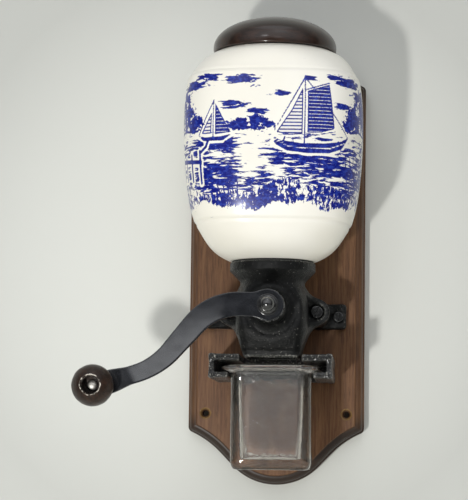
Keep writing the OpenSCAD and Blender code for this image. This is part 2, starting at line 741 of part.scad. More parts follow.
module front_bush() {
  color([0.7, 0.55, 0.3]) on_shaft(bush_back) difference() {
    cylinder(r = bush_r, h = bush_len);
    translate([0, 0, -1]) cylinder(r = shaft_r + run_gap, h = bush_len + 2);
  }
}

module thrust_washer() {
  color(bright) on_shaft(collar_front - washer_t) difference() {
    cylinder(r = bush_r - 0.4, h = washer_t);
    translate([0, 0, -1]) cylinder(r = shaft_r + run_gap, h = washer_t + 2);
  }
}

// A wire coil: its centre line is a helix, and each ring of the wire stands square to it
module adjusting_spring() {
  turns = 5.5;
  per_turn = 10;
  steps = turns * per_turn;
  length = spring_room - 2 * wire_r;
  pitch = atan(length / (turns * 2 * PI * spring_r));
  color(bright) on_shaft(collar_front + wire_r) mirror([1, 0, 0]) skin([for (k = [0:steps])
    let (a = 360 * k / per_turn, mid = [spring_r * cos(a), spring_r * sin(a), length * k / steps])
    [for (j = [0:5]) let (b = -60 * j, u = wire_r * cos(b), v = wire_r * sin(b))
      mid + [u * cos(a) + v * sin(pitch) * sin(a), u * sin(a) - v * sin(pitch) * cos(a), v * cos(pitch)]]]);
}

module adjusting_nut() {
  color([0.1, 0.1, 0.1]) on_shaft(nut_back) difference() {
    rotate_extrude($fn = 96) polygon([[0, 0], [adjuster_r - 0.8, 0], [adjuster_r, 0.8],
      [adjuster_r, adjuster_t - 1.2], [adjuster_r - 1.2, adjuster_t], [0, adjuster_t]]);
    translate([0, 0, -1]) cylinder(r = shaft_r + run_gap, h = adjuster_t + 2);
    // grip grooves
    for (i = [0:11]) rotate(30 * i) translate([adjuster_r + 0.5, 0, -1])
      cylinder(r = 1.2, h = adjuster_t + 2, $fn = 16);
  }
}

// Crank

// Points on an arc that rounds the corner b between a and c, with the heading at each
function corner_arc(a, b, c, r, n) = let (
    u = (a - b) / norm(a - b),
    v = (c - b) / norm(c - b),
    half = acos(u * v) / 2,
    t = r / tan(half),
    w = (u + v) / norm(u + v),
    o = b + w * r / sin(half),
    p = b + u * t - o,
    q = b + v * t - o,
    a0 = atan2(p[1], p[0]),
    turn = ((atan2(q[1], q[0]) - a0 + 540) % 360) - 180)
  [for (i = [0:n]) let (k = a0 + turn * i / n) [o[0] + r * cos(k), o[1] + r * sin(k)]];

crank_line = concat([[0, 0], crank_elbow * 0.3],
  corner_arc([0, 0], crank_elbow, crank_knee, elbow_r, 7),
  corner_arc(crank_elbow, crank_knee, crank_end, knee_r, 6),
  [(crank_knee + crank_end) / 2, crank_end]);

// How far the crank stands out, and half its width, at a distance s from the shaft
function crank_out(s) = joggle * min(max((s - joggle_near) / (joggle_far - joggle_near), 0), 1);
function crank_half(s) = crank_half_a
  + (crank_half_b - crank_half_a) * smooth((s - joggle_near) / (joggle_far - joggle_near));

// A section of the crank: a flat bar with eased edges, square to the line
function bar_ring(i) = let (
    n = len(crank_line),
    d = crank_line[min(i + 1, n - 1)] - crank_line[max(i - 1, 0)],
    side = [-d[1], d[0]] / norm(d),
    p = crank_line[i],
    s = norm(p),
    h = crank_half(s),
    e = 0.6,
    z = crank_out(s))
  [for (q = [[h - e, 0], [h, e], [h, crank_t - e], [h - e, crank_t],
      [e - h, crank_t], [-h, crank_t - e], [-h, e], [e - h, 0]])
    [p[0] + q[0] * side[0], p[1] + q[0] * side[1], z + q[1]]];

module crank_arm() {
  color(steel) on_shaft(crank_d) difference() {
    union() {
      skin([for (i = [0:len(crank_line) - 1]) bar_ring(i)]);
      cylinder(r = eye_r, h = crank_t);
      translate([crank_end[0], crank_end[1], joggle]) cylinder(r = crank_half_b, h = crank_t);
    }
    translate([0, 0, crank_t / 2])
      cube([drive_side + 2 * screw_gap, drive_side + 2 * screw_gap, crank_t + 2], center = true);
    translate([crank_end[0], crank_end[1], joggle - 1]) cylinder(r = pin_r + key_gap, h = crank_t + 2);
  }
}

module crank_washer() {
  color(bright) on_shaft(crank_front) difference() {
    cylinder(r = crank_washer_r, h = crank_washer_t);
    translate([0, 0, -1]) cylinder(r = thread_r + screw_gap, h = crank_washer_t + 2);
  }
}

module crank_nut() {
  base_r = 6.3;
  dome_r = 5;
  color([0.3, 0.3, 0.31]) on_shaft(nut_d) difference() {
    rotate_extrude($fn = 96) polygon(concat(
      [[0, 0], [base_r, 0], [base_r, 1.8], [base_r - 0.5, 2.3], [dome_r, 2.6], [dome_r, nut_len - dome_r]],
      [for (a = [15:15:90]) [dome_r * cos(a), nut_len - dome_r + dome_r * sin(a)]]));
    translate([0, 0, -1]) cylinder(r = thread_r + run_gap, h = 7.5);
  }
}

// Knob

module knob() {
  mid = knob_len / 2;
  long = mid + 2;
  a_end = asin(mid / long);
  color(dark_wood) on_knob(knob_d) difference() {
    rotate_extrude($fn = 96) polygon(concat([[0, 0]],
      [for (k = [-6:6]) let (a = a_end * k / 6) [knob_r * cos(a), mid + long * sin(a)]],
      [[0, knob_len]]));
    translate([0, 0, -1]) cylinder(r = pin_r + run_gap, h = knob_len + 2);
    translate([0, 0, knob_len - recess_deep]) cylinder(r = recess_r, h = recess_deep + 1);
  }
}

module knob_pin() {
  back = crank_d + joggle;
  front = knob_d + knob_len - recess_deep + slide_gap;
  color(bright) {
    on_knob(back) cylinder(r = pin_r, h = front - back + 0.01);
    on_knob(front) rotate_extrude() polygon(concat([[0, 0]],
      [for (a = [0:15:90]) [3.4 * cos(a), 0.6 + 1.6 * sin(a)]]));
    on_knob(back - 1.2) cylinder(r1 = 3.2, r2 = 4.2, h = 1.2);
  }
}

module knob_washer() {
  color(bright) on_knob(knob_d - washer_t) difference() {
    cylinder(r = knob_washer_r, h = washer_t - 0.1);
    translate([0, 0, -1]) cylinder(r = pin_r + run_gap, h = washer_t + 2);
  }
}

board();
jar();
lid();
lid_seal();
jar_gasket();
jar_clamp_ring();
clamp_screws();
housing();
housing_screws();
rear_bracket();
board_screws();
cup_bracket();
bracket_screws();
glass_cup();
crank_shaft();
burr_cone();
cone_pin();
burr_ring();
rear_bush();
front_bush();
thrust_washer();
adjusting_spring();
adjusting_nut();
crank_arm();
crank_washer();
crank_nut();
knob();
knob_pin();
knob_washer();
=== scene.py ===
"""Looks of a wall-mounted hand coffee mill. Shapes are worked out in millimetres around the fixed frame:
x to the right, y into the wall, z up. A depth is a distance in front of the board's front face."""

import math

import bmesh
import bpy
import numpy as np
from mathutils import Matrix, Vector


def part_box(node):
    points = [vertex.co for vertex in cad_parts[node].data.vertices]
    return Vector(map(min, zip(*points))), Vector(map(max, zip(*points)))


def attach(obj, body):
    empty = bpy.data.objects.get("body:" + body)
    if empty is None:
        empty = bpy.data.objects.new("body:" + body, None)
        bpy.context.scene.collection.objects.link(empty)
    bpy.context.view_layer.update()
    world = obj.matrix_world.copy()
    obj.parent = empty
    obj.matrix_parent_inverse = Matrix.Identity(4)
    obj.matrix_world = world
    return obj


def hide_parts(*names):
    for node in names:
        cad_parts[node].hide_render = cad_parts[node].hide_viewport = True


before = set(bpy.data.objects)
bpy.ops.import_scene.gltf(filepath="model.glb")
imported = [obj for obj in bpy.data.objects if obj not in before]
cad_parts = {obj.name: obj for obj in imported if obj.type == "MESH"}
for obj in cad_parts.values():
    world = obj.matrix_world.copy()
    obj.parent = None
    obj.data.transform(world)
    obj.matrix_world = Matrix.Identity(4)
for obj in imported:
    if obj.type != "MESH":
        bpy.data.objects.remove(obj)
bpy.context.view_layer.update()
MM = 0.001


def span(node):
    """Lowest and highest corner of a frame node, in millimetres."""
    low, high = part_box(node)
    return np.array(low) / MM, np.array(high) / MM


def middle(node, axis):
    """Middle of a frame node's box along one axis."""
    low, high = span(node)
    return (low[axis] + high[axis]) / 2


# Places taken from the frame
board_low, board_high = span("board")
jar_low, jar_high = span("jar")
face_y = board_low[1]
jar_y = (jar_low[1] + jar_high[1]) / 2
foot_z = jar_low[2]
jar_h = jar_high[2] - foot_z
jar_w = jar_high[0] - jar_low[0]
seat_z = span("housing")[1][2]
shaft_z = middle("crank_shaft", 2)
chute_z = span("housing")[0][2]
hub_end = face_y - span("front_bush")[0][1]
knob_x = middle("knob_washer", 0)
knob_z = middle("knob_washer", 2)
lid_low, lid_high = span("lid")
lid_r = (lid_high[0] - lid_low[0]) / 2


# Mesh making

def grid_faces(rows, columns, wrap=True):
    """Quads between neighbouring rows and columns of a grid of points; with wrap the last column meets the first."""
    last = columns if wrap else columns - 1
    i, j = np.meshgrid(np.arange(rows - 1), np.arange(last), indexing="ij")
    k = (j + 1) % columns
    quads = np.stack([i * columns + j, i * columns + k, (i + 1) * columns + k, (i + 1) * columns + j], -1)
    return quads.reshape(-1, 4)


def loft(rings, caps=True):
    """A skin over rings of equal length; each cap is a fan of quads that close on the ring's middle point."""
    rings = np.asarray(rings, float)
    if caps:
        first = np.repeat(rings[:1].mean(1, keepdims=True), rings.shape[1], 1)
        last = np.repeat(rings[-1:].mean(1, keepdims=True), rings.shape[1], 1)
        rings = np.concatenate([first, rings, last])
    return rings.reshape(-1, 3), grid_faces(rings.shape[0], rings.shape[1])


def merged(*parts):
    """One mesh of several: their points in a row, with the faces counted on."""
    points, faces, count = [], [], 0
    for part_points, part_faces in parts:
        points.append(part_points)
        faces.append(part_faces + count)
        count += len(part_points)
    return np.concatenate(points), np.concatenate(faces)


def rounded(corners, radii, steps=5):
    """A line through corners, each rounded by a quadratic curve that starts and ends at its radius from the corner."""
    corners = np.asarray(corners, float)
    line = [corners[0]]
    t = np.linspace(0, 1, steps + 1)[:, None]
    for before, corner, after, radius in zip(corners, corners[1:], corners[2:], radii):
        if radius <= 0:
            line.append(corner)
            continue
        a = corner + (before - corner) * min(radius / np.linalg.norm(before - corner), 0.5)
        b = corner + (after - corner) * min(radius / np.linalg.norm(after - corner), 0.5)
        line.extend((1 - t) ** 2 * a + 2 * t * (1 - t) * corner + t ** 2 * b)
    line.append(corners[-1])
    return np.array(line)


def turned(profile, centre, axis="up", sides=96, wave=None):
    """A profile of (radius, height) turned about an axis through centre: up is +z, front is -y.
    wave gives a factor on the radius for each angle and profile point."""
    profile = np.asarray(profile, float)
    angle = np.linspace(0, 2 * math.pi, sides, endpoint=False)
    radius = np.repeat(profile[:, :1], sides, 1)
    if wave is not None:
        radius = radius * wave(angle[None, :], profile[:, :1], profile[:, 1:])
    height = np.repeat(profile[:, 1:], sides, 1)
    a, b = radius * np.cos(angle), radius * np.sin(angle)
    if axis == "up":
        points = np.stack([a, b, height], -1)
    else:
        points = np.stack([a, -height, b], -1)
    return points.reshape(-1, 3) + np.asarray(centre, float), grid_faces(len(profile), sides)


def smooth(t):
    """Eases from 0 to 1: 3t^2 - 2t^3, held outside."""
    t = np.clip(t, 0, 1)
    return t * t * (3 - 2 * t)


def lumps(points, size, seed):
    """Value noise from -1 to 1: random heights on a lattice of this size, eased between its nodes."""
    table = np.random.default_rng(seed).uniform(-1, 1, (32, 32, 32))
    scaled = np.asarray(points) / size
    base = np.floor(scaled).astype(int)
    part = smooth(scaled - base)
    total = np.zeros(len(scaled))
    for corner in np.ndindex(2, 2, 2):
        weight = np.prod(np.where(corner, part, 1 - part), axis=1)
        place = (base + corner) % 32
        total += weight * table[place[:, 0], place[:, 1], place[:, 2]]
    return total


def convex_edges(mesh, passes=3):
    """How far each point stands out from the mean of its neighbours along its normal, as a share of the edge
    length, averaged over the neighbours a few times: above zero on outer edges, below in hollows."""
    count = len(mesh.vertices)
    place, normal = np.zeros(count * 3), np.zeros(count * 3)
    end_stain_and_shade = np.zeros(len(mesh.edges) * 2, np.int32)
    mesh.vertices.foreach_get("co", place)
    mesh.vertex_normals.foreach_get("vector", normal)
    mesh.edges.foreach_get("vertices", end_stain_and_shade)
    place, normal, end_stain_and_shade = place.reshape(-1, 3), normal.reshape(-1, 3), end_stain_and_shade.reshape(-1, 2)
    a, b = np.concatenate([end_stain_and_shade[:, 0], end_stain_and_shade[:, 1]]), np.concatenate([end_stain_and_shade[:, 1], end_stain_and_shade[:, 0]])
    number = np.maximum(np.bincount(a, minlength=count), 1)
    step = place[b] - place[a]
    share = -np.sum(step * normal[a], 1) / np.maximum(np.linalg.norm(step, axis=1), 1e-9)
    bend = np.bincount(a, share, count) / number
    for _ in range(passes):
        bend = 0.5 * bend + 0.5 * np.bincount(a, bend[b], count) / number
    return bend


def add_piece(name, shape, body, material, nodes=(), sharp=40, rough=(), values=None, near=0.002, passes=3):
    """Makes a closed mesh object from points in millimetres and quads, with equal points merged and faces outward.
    rough lists (height, size, seed) of lumps added along the normals; values are numbers kept on the points."""
    points, quads = shape
    mesh = bpy.data.meshes.new(name)
    mesh.vertices.add(len(points))
    mesh.vertices.foreach_set("co", (points * MM).astype(np.float32).ravel())
    mesh.loops.add(quads.size)
    mesh.loops.foreach_set("vertex_index", quads.astype(np.int32).ravel())
    mesh.polygons.add(len(quads))
    mesh.polygons.foreach_set("loop_start", np.arange(0, quads.size, 4, dtype=np.int32))
    mesh.update(calc_edges=True)
    for key, numbers in (values or {}).items():
        mesh.attributes.new(key, "FLOAT", "POINT").data.foreach_set("value", numbers.astype(np.float32).ravel())
    net = bmesh.new()
    net.from_mesh(mesh)
    bmesh.ops.remove_doubles(net, verts=net.verts, dist=near * MM)
    bmesh.ops.dissolve_degenerate(net, edges=net.edges, dist=1e-7)
    bmesh.ops.recalc_face_normals(net, faces=net.faces)
    net.to_mesh(mesh)
    net.free()
    bend = convex_edges(mesh, passes)
    mesh.attributes.new("bend", "FLOAT", "POINT").data.foreach_set("value", bend.astype(np.float32))
    if rough:
        count = len(mesh.vertices)
        place, normal = np.zeros(count * 3), np.zeros(count * 3)
        mesh.vertices.foreach_get("co", place)
        mesh.vertex_normals.foreach_get("vector", normal)
        place, normal = place.reshape(-1, 3), normal.reshape(-1, 3)
        shift = sum(height * lumps(place / MM, size, seed) for height, size, seed in rough)
        mesh.vertices.foreach_set("co", (place + normal * shift[:, None] * MM).ravel())
        mesh.update()
    mesh.polygons.foreach_set("use_smooth", np.ones(len(mesh.polygons), bool))
    mesh.set_sharp_from_angle(angle=math.radians(sharp))
    mesh.materials.append(material)
    piece = bpy.data.objects.new(name, mesh)
    bpy.context.scene.collection.objects.link(piece)
    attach(piece, body)
    if nodes:
        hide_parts(*nodes)
    return piece


# Castings: a field gives each point of a grid its distance to the surface, negative inside

def blend_min(a, b, k):
    """The lesser of two distances, with the inner corner between them filled over a width k."""
    h = np.maximum(k - np.abs(a - b), 0) / k
    return np.minimum(a, b) - h * h * k / 4


def blend_max(a, b, k):
    """The greater of two distances, with the outer corner between them eased over a width k."""
    return -blend_min(-a, -b, k)


def box_field(x, y, z, low, high, r):
    """Distance to a box whose edges have radius r."""
    q = [np.abs(c - (a + b) / 2) - (b - a) / 2 + r for c, a, b in zip((x, y, z), low, high)]
    outside = np.sqrt(sum(np.maximum(c, 0) ** 2 for c in q))
    return outside + np.minimum(np.maximum(np.maximum(q[0], q[1]), q[2]), 0) - r


def rod_field(a, b, along, radius, low, high, r=0.4):
    """Distance to a rod: a and b run across its axis, and its two rims have radius r."""
    q = np.hypot(a, b) - radius + r
    h = np.abs(along - (low + high) / 2) - (high - low) / 2 + r
    return np.hypot(np.maximum(q, 0), np.maximum(h, 0)) + np.minimum(np.maximum(q, h), 0) - r


def outline_field(x, y, corners):
    """Signed distance to a closed outline: the least distance to its edges, negative where a line to the side
    crosses an odd number of them."""
    corners = np.asarray(corners, float)
    best = np.full(x.shape, np.inf)
    inside = np.zeros(x.shape, bool)
    for a, b in zip(corners, np.roll(corners, -1, 0)):
        e = b - a
        dx, dy = x - a[0], y - a[1]
        t = np.clip((dx * e[0] + dy * e[1]) / max(e @ e, 1e-12), 0, 1)
        best = np.minimum(best, (dx - e[0] * t) ** 2 + (dy - e[1] * t) ** 2)
        if e[1]:
            inside ^= ((a[1] <= y) != (b[1] <= y)) & (x < a[0] + dy * e[0] / e[1])
    return np.where(inside, -1, 1) * np.sqrt(best)


def surface_net(field, low, step):
    """Skin of a field's zero level: one point in each mixed cell, at the mean of the cell's edge crossings,
    and one quad across each crossed edge of the grid."""
    size = field.shape
    cells = tuple(n - 1 for n in size)
    total, count = np.zeros(cells + (3,)), np.zeros(cells)
    crossings = []
    for axis in range(3):
        across = ((axis + 1) % 3, (axis + 2) % 3)
        f0 = np.take(field, np.arange(size[axis] - 1), axis)
        f1 = np.take(field, np.arange(1, size[axis]), axis)
        hit = (f0 < 0) != (f1 < 0)
        t = np.where(hit, f0 / np.where(hit, f0 - f1, 1), 0)
        crossings.append((hit, f0 < 0))
        for da, db in ((0, 0), (1, 0), (0, 1), (1, 1)):
            cut = [slice(None)] * 3
            cut[across[0]] = slice(da, size[across[0]] - 1 + da)
            cut[across[1]] = slice(db, size[across[1]] - 1 + db)
            part = hit[tuple(cut)]
            count += part
            total[..., axis] += t[tuple(cut)] * part
            total[..., across[0]] += da * part
            total[..., across[1]] += db * part
    mixed = count > 0
    number = np.full(cells, -1)
    number[mixed] = np.arange(mixed.sum())
    place = np.argwhere(mixed) + total[mixed] / count[mixed][:, None]
    quads = []
    for axis in range(3):
        a, b = (axis + 1) % 3, (axis + 2) % 3
        hit, inward = crossings[axis]
        at = np.argwhere(hit)
        at = at[(at[:, a] > 0) & (at[:, b] > 0) & (at[:, a] < cells[a]) & (at[:, b] < cells[b])]
        ring = []
        for da, db in ((1, 1), (0, 1), (0, 0), (1, 0)):
            cell = at.copy()
            cell[:, a] -= da
            cell[:, b] -= db
            ring.append(number[tuple(cell.T)])
        ring = np.stack(ring, -1)
        flip = ~inward[tuple(at.T)]
        ring[flip] = ring[flip][:, ::-1]
        quads.append(ring)
    return place * step + low, np.concatenate(quads)


def relaxed(points, quads, passes=2, amount=0.5):
    """Points drawn towards the mean of their neighbours along the edges and pushed back by a little more, which
    takes the grid's steps out and keeps the size."""
    a = quads.ravel()
    b = np.roll(quads, -1, 1).ravel()
    for share in [amount, -amount * 1.04] * passes:
        total = np.zeros_like(points)
        count = np.zeros(len(points))
        for i, j in ((a, b), (b, a)):
            for k in range(3):
                total[:, k] += np.bincount(i, points[j, k], len(points))
            count += np.bincount(i, minlength=len(points))
        points = points + share * (total / np.maximum(count, 1)[:, None] - points)
    return points


def cast_shape(field, low, high, step):
    """Surface net of field(x, depth, z) over a box given in x, depth and z, turned to the frame's x, y and z."""
    low, high = np.asarray(low, float) - 2.3 * step, np.asarray(high, float) + 2.3 * step
    x, d, z = np.meshgrid(*[np.arange(a, b, step) for a, b in zip(low, high)], indexing="ij")
    points, quads = surface_net(field(x, d, z), low, step)
    points = relaxed(points, quads)
    return np.stack([points[:, 0], face_y - points[:, 1], points[:, 2]], -1), quads


# Material making

def seen(r, g, b):
    """A colour given as it's seen on a screen, from 0 to 255, as the shader wants it."""
    def straight(c):
        c = c / 255
        return c / 12.92 if c <= 0.04045 else ((c + 0.055) / 1.055) ** 2.4
    return (straight(r), straight(g), straight(b), 1)


def put(tree, kind, values=None, **settings):
    """Adds a shader node, sets its properties, and sets or links its inputs."""
    made = tree.nodes.new("ShaderNode" + kind)
    for key, value in settings.items():
        setattr(made, key, value)
    for key, value in (values or {}).items():
        if isinstance(value, bpy.types.NodeSocket):
            tree.links.new(value, made.inputs[key])
        else:
            made.inputs[key].default_value = value
    return made


def calc(tree, operation, a, b=0.0, c=0.0, clamp=False):
    """A Math node's result."""
    return put(tree, "Math", {0: a, 1: b, 2: c}, operation=operation, use_clamp=clamp).outputs[0]


def mixed_colour(tree, factor, a, b, kind="MIX"):
    """A Mix node between two colours."""
    made = put(tree, "Mix", {0: factor, 6: a, 7: b}, data_type="RGBA", blend_type=kind)
    return made.outputs[2]


def stretched(tree, factor, low, high, to_low=0.0, to_high=1.0):
    """A value carried from one range to another and held at its ends, eased between them."""
    values = {0: factor, 1: low, 2: high, 3: to_low, 4: to_high}
    return put(tree, "MapRange", values, interpolation_type="SMOOTHSTEP").outputs[0]


def object_place(tree, scale=(1, 1, 1)):
    """Object coordinates, scaled along each axis."""
    place = put(tree, "TexCoord").outputs["Object"]
    return put(tree, "Mapping", {"Vector": place, "Scale": scale}).outputs[0]


def noise(tree, vector, scale, detail=4.0, rough=0.5, distortion=0.0):
    """A Noise Texture's value."""
    values = {"Vector": vector, "Scale": scale, "Detail": detail, "Roughness": rough, "Distortion": distortion}
    return put(tree, "TexNoise", values).outputs[0]


def new_material(name):
    """An empty material: its tree and its Principled shader."""
    material = bpy.data.materials.new(name)
    material.use_nodes = True
    tree = material.node_tree
    tree.nodes.clear()
    shader = put(tree, "BsdfPrincipled")
    tree.links.new(shader.outputs[0], put(tree, "OutputMaterial").inputs[0])
    return material, tree, shader


def finish_with(tree, shader, colour=None, rough=None, height=None, bump=0.3, distance=0.0004, **plain):
    """Links colour, roughness and a bump height to the shader, and sets its plain sockets."""
    if colour is not None:
        tree.links.new(colour, shader.inputs["Base Color"])
    if rough is not None:
        tree.links.new(rough, shader.inputs["Roughness"])
    if height is not None:
        relief = put(tree, "Bump", {"Strength": bump, "Distance": distance, "Height": height})
        tree.links.new(relief.outputs[0], shader.inputs["Normal"])
    for key, value in plain.items():
        shader.inputs[key.replace("_", " ")].default_value = value


def new_group(name, inputs, outputs):
    """A shader node group with named value sockets; gives its tree, its input node and its output node."""
    tree = bpy.data.node_groups.new(name, "ShaderNodeTree")
    for key, kind in inputs:
        tree.interface.new_socket(key, in_out="INPUT", socket_type="NodeSocket" + kind)
    for key, kind in outputs:
        tree.interface.new_socket(key, in_out="OUTPUT", socket_type="NodeSocket" + kind)
    return tree, tree.nodes.new("NodeGroupInput"), tree.nodes.new("NodeGroupOutput")


def placed(tree, group, values):
    """The outputs of a group placed in a material, with its values set or linked."""
    return put(tree, "Group", values, node_tree=group).outputs


def kept_value(tree, name):
    """A number that numpy left on the mesh's points under this name."""
    return put(tree, "Attribute", attribute_name=name).outputs["Fac"]


def make_grain_group():
    """Wood grain along z: long streaks, soft bands of growth and short dark pores."""
    tree, given, out = new_group("wood grain", [("Vector", "Vector"), ("Fineness", "Float")],
                                 [("Streaks", "Float"), ("Bands", "Float"), ("Pores", "Float")])
    vector, fineness = given.outputs["Vector"], given.outputs["Fineness"]
    wavering = put(tree, "Mapping", {"Vector": vector, "Scale": (1, 1, 0.06)}).outputs[0]
    streaks = noise(tree, wavering, calc(tree, "MULTIPLY", fineness, 420.0), 5, 0.62, 0.4)
    bands = noise(tree, wavering, calc(tree, "MULTIPLY", fineness, 60.0), 3, 0.5, 1.4)
    short = put(tree, "Mapping", {"Vector": vector, "Scale": (1, 1, 0.045)}).outputs[0]
    pores = noise(tree, short, calc(tree, "MULTIPLY", fineness, 1500.0), 2, 0.5)
    pores = stretched(tree, pores, 0.58, 0.72)
    for key, value in (("Streaks", streaks), ("Bands", bands), ("Pores", pores)):
        tree.links.new(value, out.inputs[key])
    return tree


def make_skin_group():
    """Cast or blackened metal's skin: fine grit, broad unevenness and a patchy wear mask."""
    tree, given, out = new_group("cast skin", [("Vector", "Vector"), ("Size", "Float"), ("Wear", "Float")],
                                 [("Grit", "Float"), ("Broad", "Float"), ("Worn", "Float")])
    vector, size = given.outputs["Vector"], given.outputs["Size"]
    grit = noise(tree, vector, calc(tree, "DIVIDE", 1.0, size), 5, 0.6)
    broad = noise(tree, vector, calc(tree, "DIVIDE", 0.09, size), 3, 0.5)
    patches = noise(tree, vector, calc(tree, "DIVIDE", 0.35, size), 6, 0.7)
    level = calc(tree, "SUBTRACT", 1.0, given.outputs["Wear"])
    worn = stretched(tree, patches, level, calc(tree, "ADD", level, 0.08))
    for key, value in (("Grit", grit), ("Broad", broad), ("Worn", worn)):
        tree.links.new(value, out.inputs[key])
    return tree


grain_group = make_grain_group()
skin_group = make_skin_group()


def calc_row(tree, vector, factors):
    """A vector times a row of factors."""
    return put(tree, "VectorMath", {0: vector, 1: factors}, operation="MULTIPLY").outputs[0]


def make_wood(name, dark, light, deep, fineness=1.0, gloss=0.45, relief=0.25, turn=(0, 0, 0), coat=0.12, band=0.55,
              marks=None, varnish=0.36):
    """Stained wood: streaks between a dark and a light tone, bands and pores in a deep one; marks adds more."""
    material, tree, shader = new_material(name)
    here = put(tree, "TexCoord").outputs["Object"]
    place = put(tree, "Mapping", {"Vector": here, "Rotation": turn}).outputs[0]
    grain = placed(tree, grain_group, {"Vector": place, "Fineness": fineness})
    tone = stretched(tree, grain["Streaks"], 0.32, 0.7)
    colour = mixed_colour(tree, tone, dark, light)
    colour = mixed_colour(tree, stretched(tree, grain["Bands"], 0.35, 0.7, 0.0, band), colour, deep)
    colour = mixed_colour(tree, calc(tree, "MULTIPLY", grain["Pores"], 0.6), colour, deep)
    if marks:
        colour = marks(tree, here, colour)
    rough = calc(tree, "ADD", calc(tree, "MULTIPLY", grain["Streaks"], 0.22), gloss - 0.1)
    height = calc(tree, "SUBTRACT", calc(tree, "MULTIPLY", grain["Streaks"], 0.6), grain["Pores"])
    finish_with(tree, shader, colour, rough, height, relief, 0.0002, Coat_Weight=coat, Coat_Roughness=varnish,
                Specular_IOR_Level=0.2)
    return material


def board_shade_and_marks(tree, here, colour):
    """The board's moulding is darker than its face, most of all at the top and bottom ends: partly the end grain's
    deeper stain, partly painted shade where the moulding turns from the light. A rusty ring lies round each screw hole."""
    way = put(tree, "SeparateXYZ", {0: here}).outputs
    sunk = stretched(tree, way[1], face_y * MM + 0.0001, face_y * MM + 0.0012)
    end_stain_and_shade = stretched(tree, calc(tree, "ABSOLUTE", way[2]), 0.112, 0.13, 0.35, 0.9)
    end_stain_and_shade = calc(tree, "MULTIPLY", end_stain_and_shade, stretched(tree, way[1], board_high[1] * MM - 0.0002, board_high[1] * MM - 0.0008))
    # Painted shade with end-grain stain: the moulding darkens towards a near-black brown, most at the ends.
    colour = mixed_colour(tree, calc(tree, "MULTIPLY", sunk, end_stain_and_shade), colour, seen(22, 14, 9))
    across = calc(tree, "SUBTRACT", calc(tree, "ABSOLUTE", way[0]), WALL_HOLE_X * MM)
    up = calc(tree, "SUBTRACT", calc(tree, "ABSOLUTE", way[2]), WALL_HOLE_Z * MM)
    away = calc(tree, "SQRT", calc(tree, "ADD", calc(tree, "MULTIPLY", across, across), calc(tree, "MULTIPLY", up, up)))
    away = calc(tree, "ADD", away, calc(tree, "MULTIPLY", noise(tree, here, 500, 2, 0.5), 0.001))
    ring = calc(tree, "MULTIPLY", stretched(tree, away, 0.0033, 0.0041), stretched(tree, away, 0.0052, 0.0043))
    return mixed_colour(tree, calc(tree, "MULTIPLY", ring, 0.7), colour, seen(140, 112, 66))


def make_iron(name, tone, worn_tone, size, relief, wear=0.3, gloss=0.45, distance=0.0004, metal=0.0, sheen=0.5,
              edge=0.0, coat=0.0, painted_glints=0.0, dull_edge=0.0):
    """Blackened metal: grit and broad unevenness in its relief, shine and tone, worn in patches, on outer edges and
    where numpy left a number for rubbed places, which also paints highlights there; edge is how much of the edges has
    worn, coat the weight of a hard varnish, a further strength sets small pale specks, painted glints that partly stand
    for bare metal, and dull_edge how much of the varnish the outer edges have lost."""
    material, tree, shader = new_material(name)
    skin = placed(tree, skin_group, {"Vector": put(tree, "TexCoord").outputs["Object"], "Size": size, "Wear": wear})
    darker = tuple(0.55 * c for c in tone[:3]) + (1,)
    colour = mixed_colour(tree, stretched(tree, skin["Broad"], 0.3, 0.7), darker, tone)
    worn = skin["Worn"]
    bend = kept_value(tree, "bend")
    if edge:
        rubbed = calc(tree, "ADD", calc(tree, "MULTIPLY", bend, 3.0), skin["Grit"])
        rubbed = calc(tree, "ADD", rubbed, kept_value(tree, "rub_and_highlight"))
        rubbed = stretched(tree, rubbed, 1.0 - edge, 1.12 - edge)
        worn = calc(tree, "MAXIMUM", worn, rubbed)
    colour = mixed_colour(tree, worn, colour, worn_tone)
    if painted_glints:
        # Painted glints: small pale specks, denser on the rubbed places, partly bare metal.
        glints = noise(tree, put(tree, "TexCoord").outputs["Object"], 760, 2, 0.6)
        glints = calc(tree, "ADD", glints, calc(tree, "MULTIPLY", kept_value(tree, "rub_and_highlight"), 0.32))
        colour = mixed_colour(tree, stretched(tree, glints, 0.67 - 0.11 * (painted_glints > 1), 0.74, 0.0, min(painted_glints, 1)), colour, seen(186, 184, 176))
    rough = calc(tree, "ADD", calc(tree, "MULTIPLY", skin["Broad"], 0.3), gloss - 0.15)
    if dull_edge:
        tree.links.new(stretched(tree, bend, 0.01, 0.05, coat, coat * (1 - dull_edge)), shader.inputs["Coat Weight"])
    height = calc(tree, "ADD", skin["Grit"], calc(tree, "MULTIPLY", skin["Broad"], 1.5))
    finish_with(tree, shader, colour, rough, height, relief, distance, Metallic=metal, Specular_IOR_Level=sheen,
                Coat_Weight=coat, Coat_Roughness=0.14, Coat_IOR=1.8)
    return material


# Middle of the board's screw holes, right and up
WALL_HOLE_X = (board_high[0] - board_low[0]) / 2 - 13
WALL_HOLE_Z = 116.0
def knob_marks(tree, here, colour):
    """The rim of the knob's recess is rubbed bare in a broken ring."""
    away = put(tree, "VectorMath", {0: calc_row(tree, here, (1, 0, 1)), 1: (knob_x * MM, 0, knob_z * MM)}, operation="DISTANCE")
    away = calc(tree, "ADD", away.outputs["Value"], calc(tree, "MULTIPLY", noise(tree, here, 420, 3, 0.6), 0.0014))
    ring = calc(tree, "MULTIPLY", stretched(tree, away, 0.0070, 0.0073), stretched(tree, away, 0.0080, 0.0077))
    front = stretched(tree, put(tree, "SeparateXYZ", {0: here}).outputs[1], span("knob")[0][1] * MM + 0.002,
                      span("knob")[0][1] * MM + 0.001)
    broken = stretched(tree, noise(tree, here, 340, 2, 0.5), 0.44, 0.52, 0.05, 1.0)
    ring = calc(tree, "MULTIPLY", calc(tree, "MULTIPLY", ring, front), broken)
    return mixed_colour(tree, ring, colour, seen(222, 214, 202))


